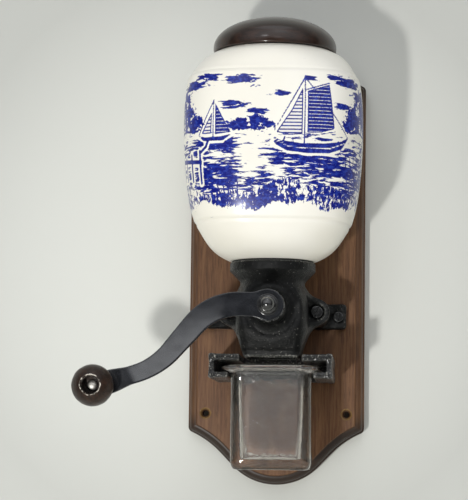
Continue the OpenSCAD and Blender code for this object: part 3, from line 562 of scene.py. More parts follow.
board_wood = make_wood("stained board", seen(95, 61, 36), seen(126, 89, 57), seen(58, 34, 16), 1.5, 0.5, 0.35, coat=0.4,
                       band=0.25, marks=board_shade_and_marks)
lid_wood = make_wood("dark turned wood", seen(32, 19, 13), seen(52, 32, 22), seen(20, 12, 9), 0.8, 0.34, 0.12,
                     (0, math.radians(90), 0), 0.6, varnish=0.13)
knob_wood = make_wood("dark knob wood", seen(32, 21, 15), seen(56, 37, 26), seen(18, 11, 8), 1.2, 0.34, 0.4,
                      (math.radians(90), 0, 0), 0.2, marks=knob_marks)
black_iron = make_iron("black enamelled casting", seen(12, 13, 13), seen(64, 65, 63), 0.0013, 0.8, 0.22, 0.38, 0.0006,
                       0.0, 0.24, 0.1, painted_glints=0.42)
rough_iron = make_iron("rough black casting", seen(13, 13, 13), seen(110, 108, 102), 0.0013, 1.0, 0.2, 0.34, 0.0024,
                       0.0, 0.6, 0.08, coat=0.3, painted_glints=1.1)
dark_steel = make_iron("blackened steel", seen(13, 13, 14), seen(66, 65, 62), 0.0009, 0.16, 0.2, 0.24, 0.0003,
                       0.0, 0.4, 0.03, coat=0.6, painted_glints=0.3)
crank_steel = make_iron("slate black steel", seen(12, 16, 24), seen(56, 59, 66), 0.0009, 0.06, 0.12, 0.2, 0.0002,
                        0.0, 0.6, coat=1.0, dull_edge=1.0)
bright_steel = make_iron("bright steel", seen(206, 203, 196), seen(120, 112, 100), 0.0007, 0.08, 0.3, 0.46, 0.0002,
                         1.0)
burr_iron = make_iron("bare hard iron", seen(96, 96, 98), seen(60, 54, 48), 0.0006, 0.2, 0.35, 0.4, 0.0002, 1.0)
bush_brass = make_iron("brass bush", seen(190, 158, 92), seen(140, 108, 60), 0.0006, 0.08, 0.3, 0.35, 0.0002, 1.0)
seal_rubber = make_iron("seal rubber", seen(38, 37, 36), seen(58, 57, 55), 0.0006, 0.15, 0.3, 0.7, 0.0002)


# Of each kind of stroke: its name, its fineness across and up, its detail and seed, how much thickness counts, and
# the level above which it prints
STROKES = (("leaf", 0.42, 0.5, 5, 11, 0.3, 0.555), ("cloud", 0.12, 0.42, 5, 23, 0.27, 0.6),
           ("water", 0.09, 0.5, 5, 37, 0.34, 0.6), ("grass", 0.5, 0.24, 5, 43, 0.34, 0.6))


def make_glaze():
    """Cream glaze with a transfer print in blue. Numpy leaves the print's drawing on the points: ink and sail hold
    distances in millimetres, negative inside; shade says how dark a sail is; leaf, cloud, water and grass say how
    thickly their strokes lie; around and height are the place on the jar in millimetres, in which the noise that
    makes the strokes is laid out."""
    material, tree, shader = new_material("cream glaze")
    place = object_place(tree)
    tone = stretched(tree, noise(tree, place, 18, 3, 0.5), 0.3, 0.7)
    glaze = mixed_colour(tree, tone, seen(244, 240, 228), seen(248, 245, 236))
    sheet = put(tree, "CombineXYZ", {0: kept_value(tree, "around"), 1: kept_value(tree, "height")}).outputs[0]

    def strokes(across, up, detail, seed):
        laid = put(tree, "Mapping", {"Vector": sheet, "Scale": (across, up, 1), "Location": (seed, 0, seed)}).outputs[0]
        return noise(tree, laid, 1.0, detail, 0.62, 0.3)

    fine = strokes(1.1, 1.1, 3, 3)
    edge = calc(tree, "MULTIPLY", calc(tree, "SUBTRACT", fine, 0.5), 0.9)
    ink = stretched(tree, calc(tree, "ADD", kept_value(tree, "ink"), edge), 0.16, -0.16)
    seams = put(tree, "Math", {0: calc(tree, "MULTIPLY", kept_value(tree, "height"), 2.6)}, operation="SINE").outputs[0]
    seams = calc(tree, "ADD", seams, calc(tree, "MULTIPLY", fine, 1.2))
    seams = stretched(tree, calc(tree, "SUBTRACT", seams, kept_value(tree, "shade")), 0.05, -0.3, 0.12, 1.0)
    sail = calc(tree, "ADD", kept_value(tree, "sail"), edge)
    cloth = calc(tree, "MULTIPLY", stretched(tree, sail, 0.1, -0.2), seams)
    hem = calc(tree, "MULTIPLY", stretched(tree, sail, 0.1, -0.1), stretched(tree, sail, -0.95, -0.6))
    printed = calc(tree, "MAXIMUM", ink, calc(tree, "MAXIMUM", cloth, hem))
    for name, across, up, detail, seed, spread, level in STROKES:
        thick = calc(tree, "MULTIPLY", kept_value(tree, name), spread)
        mark = stretched(tree, calc(tree, "ADD", strokes(across, up, detail, seed), thick), level, level + 0.035)
        printed = calc(tree, "MAXIMUM", printed, mark)
    depth = stretched(tree, strokes(0.3, 0.5, 4, 51), 0.38, 0.56)
    blue = mixed_colour(tree, depth, seen(34, 58, 160), seen(0, 12, 118))
    worn = stretched(tree, strokes(0.9, 0.9, 2, 61), 0.2, 0.4, 0.9, 1.0)
    colour = mixed_colour(tree, calc(tree, "MULTIPLY", printed, worn), glaze, blue)
    finish_with(tree, shader, colour, None, noise(tree, place, 30, 2, 0.4), 0.05, 0.001, Roughness=0.3,
                Specular_IOR_Level=0.28, Coat_Weight=0.08, Coat_Roughness=0.14)
    return material


def make_glass():
    """Clear pressed glass with a wavy skin and a faint film, darker and browner where numpy calls it thick: painted
    shade on the side walls, and the tint of the thick base.
    """
    material, tree, shader = new_material("pressed glass")
    place = object_place(tree)
    height = calc(tree, "ADD", noise(tree, place, 70, 3, 0.6), calc(tree, "MULTIPLY", noise(tree, place, 300, 3, 0.6), 0.2))
    colour = mixed_colour(tree, stretched(tree, noise(tree, place, 40, 3, 0.6), 0.4, 0.8), (0.99, 0.98, 0.97, 1),
                          (0.86, 0.84, 0.84, 1))
    # Painted shade on the side walls, seen edge-on, and the tint of the thick base.
    colour = mixed_colour(tree, kept_value(tree, "thick"), colour, (0.42, 0.38, 0.32, 1))
    finish_with(tree, shader, colour, None, height, 0.42, 0.0014, Roughness=0.015, Transmission_Weight=0.965, IOR=1.5)
    return material


jar_glaze = make_glaze()
cup_glass = make_glass()


# Board

board_t = board_high[1] - board_low[1]
board_w = board_high[0] - board_low[0]
board_h = board_high[2] - board_low[2]
MOULDING = 7.0
TIP_R = 44.0
OGEE_SLOPE = math.radians(46)
SHOULDER_SLOPE = math.radians(26)
SHOULDER_R = 4.0
SLANT = 13.5


def lean(slope):
    """Unit vector square to a line that falls by this slope."""
    slope = np.asarray(slope, float)
    return np.stack([np.sin(slope), np.cos(slope)], -1)


def board_outline(t):
    """Outline drawn in by t: shoulder arc, hollow arc and round tip of one quarter, mirrored to all four."""
    w = board_w / 2
    flat = (MOULDING + 0.5) * math.tan(math.pi / 4 - SHOULDER_SLOPE / 2) * math.cos(SHOULDER_SLOPE) + 0.3
    c1 = np.array([0, board_h / 2 - TIP_R])
    p2 = c1 + TIP_R * lean(OGEE_SLOPE) + SLANT * np.array([math.cos(OGEE_SLOPE), -math.sin(OGEE_SLOPE)])
    hollow_r = (w - flat - p2[0]) / (math.sin(OGEE_SLOPE) - math.sin(SHOULDER_SLOPE))
    c2 = p2 + hollow_r * lean(OGEE_SLOPE)
    p3 = c2 - hollow_r * lean(SHOULDER_SLOPE)
    corner_z = p3[1] - (w - p3[0]) * math.tan(SHOULDER_SLOPE)
    r = max(SHOULDER_R - t, 0.3)
    c0 = np.array([w - t - r, corner_z - (t + r) * math.tan(math.pi / 4 - SHOULDER_SLOPE / 2)])
    shoulder = c0 + r * lean(np.linspace(math.pi / 2, SHOULDER_SLOPE, 9))
    hollow = c2 - (hollow_r + t) * lean(np.linspace(SHOULDER_SLOPE, OGEE_SLOPE, 21))
    straight = hollow[-1] + (c1 + (TIP_R - t) * lean(OGEE_SLOPE) - hollow[-1]) * np.linspace(0.2, 0.8, 4)[:, None]
    tip = c1 + (TIP_R - t) * lean(np.linspace(OGEE_SLOPE, 0, 25))
    quarter = np.concatenate([shoulder, hollow, straight, tip])
    upper = np.concatenate([quarter, quarter[-2::-1] * [-1, 1]])
    return np.concatenate([upper, -upper])


def make_board():
    """The board: its outline lofted through the moulded edge, and a front face with four countersunk holes."""
    z = board_t - MOULDING
    sweep = np.linspace(0, 1, 13) * math.pi / 2
    steps = [(0, 0.8), (0.25, 0.25), (0.8, 0), (z - 0.4, 0), (z, 0.25), (z + 0.3, 1.2)]
    steps += [(z + 0.3 + (MOULDING - 1.4) * math.sin(a), 1.2 + (MOULDING - 2.2) * (1 - math.cos(a))) for a in sweep]
    steps += [(board_t - 0.9, MOULDING - 0.7), (board_t - 0.35, MOULDING - 0.25), (board_t, MOULDING + 0.1)]
    rings = []
    for height, inset in steps:
        outline = board_outline(inset)
        rings.append(np.stack([outline[:, 0], np.full(len(outline), -height), outline[:, 1]], -1))
    points, quads = loft(rings, caps=False)
    count = len(rings[0])
    mesh = bmesh.new()
    verts = [mesh.verts.new(p) for p in points]
    for face in quads:
        mesh.faces.new([verts[i] for i in face])
    angle = np.linspace(0, 2 * math.pi, 32, endpoint=False)
    front, back = verts[-count:], verts[:count]
    edges = [[mesh.edges.get((ring[i], ring[(i + 1) % count])) for i in range(count)] for ring in (front, back)]
    for sx in (-1, 1):
        for sz in (-1, 1):
            hole = []
            for radius, depth in ((4.3, board_t), (4.0, board_t - 0.2), (2.4, board_t - 1.9), (2.4, 0)):
                hole.append([mesh.verts.new((sx * WALL_HOLE_X + radius * math.cos(a), -depth,
                                             sz * WALL_HOLE_Z + radius * math.sin(a))) for a in angle])
            for ring, after in zip(hole, hole[1:]):
                for i in range(32):
                    j = (i + 1) % 32
                    mesh.faces.new((ring[i], ring[j], after[j], after[i]))
            for loop, ring in ((edges[0], hole[0]), (edges[1], hole[-1])):
                loop.extend(mesh.edges.get((ring[i], ring[(i + 1) % 32])) for i in range(32))
    for loop in edges:
        bmesh.ops.triangle_fill(mesh, use_beauty=True, edges=loop)
    bmesh.ops.recalc_face_normals(mesh, faces=mesh.faces)
    bmesh.ops.scale(mesh, vec=(MM, MM, MM), verts=mesh.verts)
    made = bpy.data.meshes.new("board_wood_panel")
    mesh.to_mesh(made)
    mesh.free()
    made.polygons.foreach_set("use_smooth", np.ones(len(made.polygons), bool))
    made.set_sharp_from_angle(angle=math.radians(30))
    made.materials.append(board_wood)
    piece = bpy.data.objects.new("board_panel", made)
    bpy.context.scene.collection.objects.link(piece)
    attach(piece, "stand")
    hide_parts("board")
    return piece


make_board()


# Jar

FOOT_R = 30.5
MOUTH_R = 37.3
DROP_R = 20.0
JAR_WALL = 5.0
JAR_FLOOR = 7.0
JAR_DEPTH = jar_high[1] - jar_low[1]
CREASES = (25.4, 129.9)


def bezier(points, t):
    """Cubic curve through four points."""
    p = np.asarray(points, float)
    t = t[:, None]
    return (1 - t) ** 3 * p[0] + 3 * t * (1 - t) ** 2 * p[1] + 3 * t ** 2 * (1 - t) * p[2] + t ** 3 * p[3]


def jar_profile(count):
    """Half widths and heights: belly, long side and shoulder curves, then the rim."""
    w, h = jar_w / 2, jar_h
    curves = [
        [(FOOT_R, 0), (0.67 * w, 0.033 * h), (0.736 * w, 0.067 * h), (0.861 * w, 0.168 * h)],
        [(0.861 * w, 0.168 * h), (1.028 * w, 0.288 * h), (1.044 * w, 0.842 * h), (0.941 * w, 0.867 * h)],
        [(0.941 * w, 0.867 * h), (0.886 * w, 0.901 * h), (0.854 * w, 0.965 * h), (lid_r - 0.4, h - 1.4)]]
    line = [np.array([[FOOT_R - 1.2, 0], [FOOT_R - 0.4, 0.05]])]
    for curve, share in zip(curves, (0.2, 0.64, 0.16)):
        line.append(bezier(curve, np.linspace(0, 1, int(count * share))[:-1]))
    line.append(np.array([[lid_r - 0.4, h - 1.4], [MOUTH_R + 4.7, h - 1.2], [MOUTH_R + 4.7, h - 0.4],
                          [MOUTH_R + 4.2, h]]))
    return np.concatenate(line)


def squareness(height):
    """How square the jar is at a height above its foot: 0 is round, 1 the full rounded square."""
    return smooth(height / (0.2 * jar_h)) * smooth((jar_h - height) / (0.16 * jar_h))


def jar_rings(radius, height, angle):
    """Rings of the jar: superellipses that turn into circles at the foot and the mouth. Angle 0 is the front."""
    q = squareness(height)[:, None]
    power = 2 / (2 + 1.15 * q)
    depth = radius[:, None] * (1 - (1 - JAR_DEPTH / jar_w) * q)
    s, c = np.sin(angle)[None, :], np.cos(angle)[None, :]
    x = radius[:, None] * np.sign(s) * np.abs(s) ** power
    y = -depth * np.sign(c) * np.abs(c) ** power
    return np.stack([x, y + jar_y, np.repeat(height[:, None], len(angle), 1) + foot_z], -1)


def front_weighted(count):
    """Angles round the jar, closer together at the front where the print is."""
    t = np.linspace(-1, 1, count, endpoint=False)
    return math.pi * (0.62 * t + 0.38 * t ** 3)


def drawn_line(u, v, corners, half):
    """Distance to a pen line through the corners, this many millimetres wide to each side."""
    best = np.full(u.shape, np.inf)
    for a, b in zip(np.asarray(corners, float), np.asarray(corners, float)[1:]):
        e = b - a
        t = np.clip(((u - a[0]) * e[0] + (v - a[1]) * e[1]) / (e @ e), 0, 1)
        best = np.minimum(best, np.hypot(u - a[0] - e[0] * t, v - a[1] - e[1] * t))
    return best - half


def clumps(u, v, discs):
    """How deep a place lies in the nearest of some ellipses (u, v, half width, half height): 1 at a middle, 0 on
    the edge, held at -1 outside."""
    best = np.full(u.shape, -1.0)
    for cu, cv, ru, rv in discs:
        best = np.maximum(best, 1 - ((u - cu) / ru) ** 2 - ((v - cv) / rv) ** 2)
    return best


# The printed river scene, in millimetres right of the jar's middle and above its foot
HULL = [(0, 83), (4, 76), (12, 71.6), (26, 70), (42, 70.4), (52, 74), (58, 82.5), (50, 78.8), (38, 77), (22, 76.8), (8, 78.8)]
PLANKS = [[(3, 79.6), (13, 74.6), (27, 73.2), (42, 73.6), (54, 78)]]
MASTS = [[(24, 77), (24.6, 124)], [(24.4, 81), (46, 85.5)], [(24.5, 114), (42, 119.5)], [(24.6, 123), (1, 82)],
         [(24.6, 123), (57, 82)], [(0, 82.6), (-9, 86.5)], [(49, 79), (51.5, 72)], [(10, 78.6), (10, 81), (16, 80.6), (16, 77.4)]]
SAILS = [[(26, 84), (26.2, 113.5), (42, 118.5), (45.5, 87.5), (36, 84.5)],
         [(22.6, 83), (23, 116), (15, 100), (4.5, 84.5), (13, 82.4)]]
PENNANT = [(24.6, 124.6), (34, 123.6), (31, 122.2), (35, 120.6), (24.6, 121.2)]
SKIFF = [(-52, 83), (-48, 79.2), (-33, 78.8), (-26, 83.5), (-34, 81.8), (-46, 81.6)]
SKIFF_LINES = [[(-40, 81), (-39.6, 107.5)], [(-52, 83), (-39.6, 107)]]
SKIFF_SAILS = [[(-38.4, 83.4), (-38.4, 105.5), (-27, 84.6)], [(-41.4, 84), (-40.8, 99), (-49.5, 84.2)]]
BANKS = [[(-100, 88), (-84, 87), (-70, 88), (-58, 86.4), (-53, 86.6)], [(60, 86), (72, 88), (84, 86.6), (100, 88)],
         [(-24, 87.4), (-10, 88), (-3, 87.2)]]
TRUNKS = [[(-80, 87), (-79, 96)], [(-69, 88), (-70, 96)], [(-62, 87), (-62, 93)], [(68, 87), (68.6, 94)], [(79, 88), (78, 97)],
          [(90, 87), (89, 94)]]
JETTY = [(-84, 69.5), (-50, 66), (-50, 63.2), (-84, 66.6)]
POSTS = [[(-80, 70), (-80, 54)], [(-71, 69), (-71, 53)], [(-61, 70.5), (-61, 52)], [(-51.5, 72.5), (-51.5, 50)],
         [(-51.5, 71), (-46, 75), (-44, 79.6)]]
REEDS = [[(60 + 3.4 * k, 42 + k % 3), (58.5 + 3.8 * k, 56 + 5 * (k % 2)), (56 + 4.6 * k, 65 + 3 * (k % 3))] for k in range(8)]
REEDS += [[(-36 + 3 * k, 34 + k % 2), (-37 + 3.4 * k, 44 + 3 * (k % 3)), (-39 + 4 * k, 50 + 2 * (k % 2))] for k in range(5)]
BIRDS = [[(-14, 116), (-11.6, 117.8), (-10, 116), (-8.2, 117.8), (-6, 116)],
         [(-3, 110.5), (-1.2, 111.9), (0, 110.6), (1.4, 111.9), (3, 110.6)]]
TREES = [(-80, 101, 15, 12), (-68, 98, 13, 11), (-58, 92, 11, 7.4), (-92, 97, 14, 12), (-74, 109, 12, 9), (66, 96, 13, 10),
         (77, 103, 14, 12.5), (89, 99, 13, 12), (60, 91, 9, 6), (98, 94, 12, 11), (82, 112, 11, 8), (-21, 90, 11, 4.8),
         (-10, 91.4, 9, 5.8), (-2, 89.4, 7, 3.4)]
CLOUDS = [(-62, 119, 20, 5), (-46, 124, 14, 3.4), (-20, 122, 16, 4), (-26, 104, 13, 3.4), (-8, 99, 10, 2.6), (60, 121, 17, 5),
          (72, 113, 14, 3.6), (8, 112, 8, 2.6), (52, 104, 9, 3), (48, 124, 11, 3)]


def print_drawing(u, v):
    """The print's numbers at places u to the right and v up, in millimetres. The water lies in streaks that thin out
    upwards and towards a light path left of the barge, leaves the hulls clear, and gives way to a grassy near bank
    with a ragged lower edge."""
    hull = outline_field(u, v, HULL)
    skiff = outline_field(u, v, SKIFF)
    ink = np.minimum(hull, skiff)
    for line in PLANKS:
        ink = np.maximum(ink, -drawn_line(u, v, line, 0.4))
    for shape in (PENNANT, JETTY):
        ink = np.minimum(ink, outline_field(u, v, shape))
    for lines, half in ((MASTS, 0.45), (SKIFF_LINES, 0.38), (BANKS, 0.8), (TRUNKS, 1.0), (POSTS, 0.9), (REEDS, 0.5), (BIRDS, 0.36)):
        for line in lines:
            ink = np.minimum(ink, drawn_line(u, v, line, half))
    sails = [outline_field(u, v, shape) for shape in SAILS + SKIFF_SAILS]
    sail = np.minimum.reduce(sails)
    shade = np.where((sails[0] < 2) | (sails[2] < 2), 1.6, 0.3)
    props = [outline_field(u, v, JETTY)] + [drawn_line(u, v, line, 0.9) for line in POSTS]
    clear = smooth((np.minimum(np.minimum(hull, skiff), np.minimum.reduce(props)) - 0.4) / 1.6)
    near = 47 + 4 * np.sin(u / 16 + 0.6) + 2 * np.sin(u / 6)
    low = 31 + 2.5 * np.sin(u / 11) + 1.6 * np.sin(u / 4.3 + 1)
    path = np.exp(-((u + 14 - 0.3 * (v - 60)) / 9) ** 2) * smooth((v - 44) / 12)
    under = np.exp(-((u - 28) / 26) ** 2 - ((v - 66) / 4.5) ** 2) + np.exp(-((u + 40) / 14) ** 2 - ((v - 75) / 4) ** 2)
    swell = lumps(np.stack([u / 2.4, v, 0 * u], -1).reshape(-1, 3), 6.5, 78).reshape(u.shape)
    water = smooth((v - near + 3) / 5) * smooth((86 - v) / 8) * (0.33 + 0.16 * smooth((72 - v) / 16) + 0.26 * swell)
    water = (water - 0.3 * path + 0.45 * under) * clear - 0.6 * (1 - clear)
    grass = smooth((near - v + 2) / 4) * smooth((v - low) / 5) * (0.46 + 0.3 * lumps(np.stack([u, v, 0 * u], -1).reshape(-1, 3),
                                                                                    9.0, 77).reshape(u.shape))
    outside = 0.35 * (1 - smooth((v - low) / 5)) + 0.35 * smooth((v - 84) / 3)
    trees = clumps(u, v, TREES)
    bunches = lumps(np.stack([u, v, 0 * u], -1).reshape(-1, 3), 3.6, 79).reshape(u.shape)
    return {"ink": ink, "sail": sail, "shade": shade, "leaf": trees + 0.85 * bunches * smooth(2 * trees), "cloud": clumps(u, v, CLOUDS),
            "water": water - outside, "grass": grass - 0.4 * (grass < 0.02) - outside}


def make_jar():
    """The jar: its outside, mouth, inside, floor and drop hole as one closed skin, with the print's numbers."""
    angle = front_weighted(360)
    outer = jar_profile(200)
    for level in CREASES:
        near = outer[:, 1] - level
        outer[:, 0] -= 0.85 * np.exp(-(near / 1.2) ** 2) - 0.35 * np.exp(-(near / 3.4) ** 2)
    heights = jar_h * np.array([0.955, 0.94, 0.9, 0.85, 0.75, 0.6, 0.45, 0.3, 0.2, 0.14, 0.09, 0.0632])
    inner_r = np.interp(heights, outer[:, 1], outer[:, 0]) - JAR_WALL
    rings = [jar_rings(outer[:, 0], outer[:, 1], angle)]
    inside = [(MOUTH_R, jar_h - 0.2), (MOUTH_R, jar_h * 0.962)]
    rings.append(jar_rings(*[np.array(v, float) for v in zip(*inside)], angle))
    rings.append(jar_rings(inner_r, heights, angle))
    floor = [(inner_r[-1] - 1.5, JAR_FLOOR + 0.6), (inner_r[-1] - 3, JAR_FLOOR), (DROP_R + 0.6, JAR_FLOOR),
             (DROP_R, JAR_FLOOR - 0.6), (DROP_R, 0), (FOOT_R - 1.2, 0)]
    rings.append(jar_rings(*[np.array(v, float) for v in zip(*floor)], angle))
    points = np.concatenate(rings)
    middle_ring = jar_rings(np.array([jar_w / 2]), np.array([jar_h / 2]), angle)[0]
    along = np.concatenate([[0], np.cumsum(np.linalg.norm(np.diff(middle_ring, axis=0), axis=1))])
    along -= np.interp(0, angle, along)
    u = np.repeat(along[None, :], len(points), 0)
    v = np.repeat(np.pad(outer[:, 1], (0, len(points) - len(outer)), constant_values=-50)[:, None], len(angle), 1)
    drawing = {"around": u, "height": v, **print_drawing(u, v)}
    away = smooth((np.abs(u) - 104) / 8) + (v < 0)
    for name in ("ink", "sail"):
        drawing[name] = drawing[name] + 9 * away
    for name in ("leaf", "cloud", "water", "grass"):
        drawing[name] = drawing[name] - 3 * away
    return add_piece("glazed_jar", (points.reshape(-1, 3), grid_faces(len(points), len(angle))), "stand",
                     jar_glaze, ["jar"], 50, values={k: d.ravel() for k, d in drawing.items()})


make_jar()


# Lid

LID_EDGE = 2.7
LID_PLUG = 9.0


def make_lid():
    """The lid: an eased edge, a domed top, a plug with a groove for the seal."""
    dome = lid_high[2] - lid_low[2] - LID_PLUG - LID_EDGE
    rise = np.linspace(0, math.pi / 2, 40)
    plug_r = MOUTH_R - 1.1
    groove = 0.91
    edge = rounded([(plug_r, 0), (lid_r - 0.2, 0), (lid_r, LID_EDGE)], [1.2])
    profile = [(0, -LID_PLUG), (plug_r - 1, -LID_PLUG), (plug_r, -LID_PLUG + 1), (plug_r, -5.8),
               (plug_r - groove, -5.8), (plug_r - groove, -3.2), (plug_r, -3.2)] + edge.tolist()
    profile += [(lid_r * math.cos(a), LID_EDGE + dome * math.sin(a) ** 0.94) for a in rise[1:]]
    shape = turned(profile, (0, jar_y, lid_low[2] + LID_PLUG), "up", 144)
    return add_piece("turned_lid", shape, "lid", lid_wood, ["lid"], 35)


make_lid()


# Housing and the bracket behind it

DRUM_R = 25.0
CHAMBER_R = 21.0
DRUM_BACK = 30.0
DRUM_FRONT = 84.0
WALL_BACK = 76.0
HUB_R = 11.0
BUSH_R = 8.0
NECK_R = 21.5
HEAD_R = 4.4
EAR_X = span("housing_screws")[1][0] - HEAD_R
EAR_R = 9.0
EAR_BACK = 48.0
EAR_T = 10.0
jar_d = face_y - jar_y


collar_line = [(0, seat_z), (FOOT_R - 0.8, seat_z), (FOOT_R, seat_z - 0.8), (FOOT_R, seat_z - 6.3),
               (FOOT_R - 0.9, seat_z - 7.2), (NECK_R + 1.4, seat_z - 13.8), (NECK_R, seat_z - 15.5), (0, seat_z - 15.5)]
# Radius and depth of the front as it turns about the shaft: a dome, a shallow valley, a ridge and the hub
front_line = rounded([(0, DRUM_BACK), (DRUM_R, DRUM_BACK), (DRUM_R, 66), (24.4, 74.6), (22.4, 80.4), (20.4, 81.8),
                      (17.8, 80.2), (14.6, 81.4), (12.0, 85.4), (HUB_R, 91), (HUB_R, hub_end - 0.7),
                      (HUB_R - 0.7, hub_end), (0, hub_end)], [0, 6, 5, 3, 2, 2.4, 3.4, 3.4, 2, 0.3, 0.3], 4)
# Height above the chute's lower edge, and half its width there
chute_width = [(0, 20.8), (1.2, 21.5), (2.4, 21.4), (4.2, 20.6), (10.7, 21.8), (17.7, 23), (30, 22.4)]


def housing_field(x, d, z):
    """Distance to the mill's front casting, its parts blended into each other by fillets."""
    up = z - shaft_z
    side = np.abs(x)
    collar = outline_field(np.hypot(x, d - jar_d), z, collar_line)
    neck = rod_field(x, d - jar_d, z, NECK_R, shaft_z + 2, seat_z - 8)
    body = blend_min(outline_field(np.hypot(x, up), d, front_line), neck, 9)
    half = np.interp(z - chute_z, *zip(*chute_width))
    groove = 0.9 * np.exp(-((z - chute_z - 5.6) / 1.4) ** 2)
    chute = box_field(x * 22 / half, d + 0.7 * (22 - half) + groove, z, (-22, DRUM_BACK + 2, chute_z), (22, DRUM_FRONT - 4, shaft_z - 8),
                      6.5)
    chute = blend_max(blend_max(chute, (d - DRUM_FRONT + 4 + 3.4 - z + chute_z) * 0.7, 0.6), chute_z - z, 1)
    body = blend_min(body, chute, 13)
    out = EAR_X - side
    ear = rod_field(out, up, d, EAR_R, EAR_BACK, EAR_BACK + EAR_T, 0.9)
    arm = blend_max(np.abs(up) - 8.4 - 0.36 * out, -out, 2)
    arm = blend_max(arm, np.maximum(EAR_BACK - d, d - EAR_BACK - 9 - 0.5 * np.maximum(out - 3, 0)), 3)
    body = blend_min(body, blend_min(ear, arm + 0.9, 3), 12)
    body = blend_min(body, collar, 2.5)
    cuts = [rod_field(x, up, d, CHAMBER_R - np.clip((d - 56) / 4, 0, 5), DRUM_BACK - 9, WALL_BACK),
            rod_field(x, up, d, BUSH_R + 0.1, 70, hub_end + 9),
            rod_field(x, d - jar_d, z, 12, shaft_z + 10, seat_z - 13), rod_field(x, d - jar_d, z, 16, seat_z - 14, seat_z + 9),
            box_field(x, d, z, (-16.5, DRUM_BACK + 4, chute_z - 9), (16.5, WALL_BACK, shaft_z - CHAMBER_R - 2.2), 2.5),
            rod_field(out, up, d, 2.6, EAR_BACK - 9, EAR_BACK + 9),
            rod_field(out, up, d, 5.3 + np.maximum(d - EAR_BACK - EAR_T + 1.2, 0) * 0.8, EAR_BACK + EAR_T - 3,
                      EAR_BACK + EAR_T + 9, 0.3)]
    for cut in cuts:
        body = blend_max(body, -cut, 0.8)
    return np.maximum(body, DRUM_BACK - d)


def make_housing():
    """The casting, paler on the chute's lip, round the ears' counterbores and on the collar's upper rim: partly rubbed
    bare, partly painted highlight.
    """
    low = (-EAR_X - EAR_R, DRUM_BACK, chute_z)
    high = (EAR_X + EAR_R, hub_end, seat_z)
    points, quads = cast_shape(housing_field, low, high, 0.75)
    x, d, z = points[:, 0], face_y - points[:, 1], points[:, 2]
    out = np.hypot(np.abs(x) - EAR_X, z - shaft_z)
    # Painted highlight with wear: paler places on the chute's lip, the outer side of each ear's counterbore rim and the
    # collar's upper rim.
    rub_and_highlight = 0.42 * smooth((chute_z + 3.4 - z) / 0.8) * smooth((d - 74) / 2)
    rub_and_highlight += 0.42 * smooth((d - EAR_BACK - EAR_T + 2.6) / 0.6) * np.exp(-((out - 6) / 0.7) ** 2) * smooth((np.abs(x) - EAR_X + 3) / 3)
    rub_and_highlight += 0.3 * smooth((z - seat_z + 1.2) / 0.8) * smooth((np.hypot(x, d - jar_d) - FOOT_R + 1.6) / 0.8)
    return add_piece("mill_casting", (points, quads), "stand", black_iron, ["housing"], 60,
                     [(0.13, 2.2, 3), (0.16, 7, 4)], values={"rub_and_highlight": rub_and_highlight})


make_housing()


def bracket_field(x, d, z):
    """Distance to the casting on the board: lug bar, boss, two posts, web and the back of the chamber."""
    up = z - shaft_z
    side = np.abs(x)
    bar = box_field(x, d, z, (-51.6, 0, shaft_z - 9.3), (51.6, 8, shaft_z + 9.3), 2.2)
    boss = rod_field(x, up, d, 12, 4, DRUM_BACK, 0.5)
    drum = rod_field(x, up, d, DRUM_R, DRUM_BACK - 8, DRUM_BACK, 1)
    post = rod_field(side - EAR_X, up, d, 8, 2, EAR_BACK, 0.3)
    web = box_field(x, d, z, (-EAR_X, 6, shaft_z - 4), (EAR_X, DRUM_BACK - 1, shaft_z + 4), 1.5)
    body = blend_min(blend_min(bar, web, 5), blend_min(boss, drum, 3), 4)
    body = blend_min(body, post, 4)
    hollow = blend_max(np.hypot(x, up) - DRUM_R - 0.3, DRUM_BACK - d, 0.3)
    cuts = [hollow, rod_field(x, up, d, BUSH_R, 12, DRUM_BACK + 9),
            rod_field(side - 45.8, up, d, 2.3, -9, 20), rod_field(side - 45.8, up, d, 4.8, 7, 12)]
    for cut in cuts:
        body = blend_max(body, -cut, 0.6)
    return body


def make_rear_bracket():
    shape = cast_shape(bracket_field, (-51.6, 0, shaft_z - DRUM_R), (51.6, EAR_BACK, shaft_z + DRUM_R), 0.9)
    return add_piece("board_casting", shape, "stand", black_iron, ["rear_bracket"], 60,
                     [(0.1, 2.5, 5), (0.12, 8, 6)])


make_rear_bracket()


# Cup bracket

cup_low, cup_high = span("glass_cup")
rail_low, rail_high = span("cup_bracket")
RAIL_WALL = 3.5
PLATE_T = 4.6
LIP_T = 4.0
lip_in = 56.8 / 2 + 1.6
reach = face_y - rail_low[1]


def rail_field(x, d, z):
    """Distance to the rough bracket: a plate open in the middle, two C-shaped rails, and the flange on the board."""
    side = np.abs(x)
    half, top, low = rail_high[0], rail_high[2], rail_low[2]
    plate = box_field(x, d, z, (-half, 0, top - PLATE_T), (half, reach, top), 0.9)
    notch = box_field(x, d, z, (-DRUM_R + 3, DRUM_BACK - 2, top - 9), (DRUM_R - 3, reach + 9, top + 9), 1)
    plate = np.maximum(plate, -notch)
    wall = box_field(side, d, z, (half - RAIL_WALL, 0, low), (half, reach, top), 0.9)
    lip = box_field(side, d, z, (lip_in, 0, low), (half, reach, low + LIP_T), 0.9)
    stop = box_field(side, d, z, (lip_in + 1, 0, low), (half, 20.6, top), 0.8)
    back = box_field(x, d, z, (-half, 0, low), (half, 5, top), 0.8)
    body = blend_min(blend_min(plate, wall, 1.6), lip, 1.6)
    return blend_min(body, np.minimum(stop, back), 1)


def make_cup_bracket():
    low = (-rail_high[0], 0, rail_low[2])
    high = (rail_high[0], reach, rail_high[2])
    return add_piece("cup_rails", cast_shape(rail_field, low, high, 0.7), "stand", rough_iron,
                     ["cup_bracket"], 60, [(0.16, 1.7, 7), (0.18, 5, 8)])


make_cup_bracket()


# Glass cup

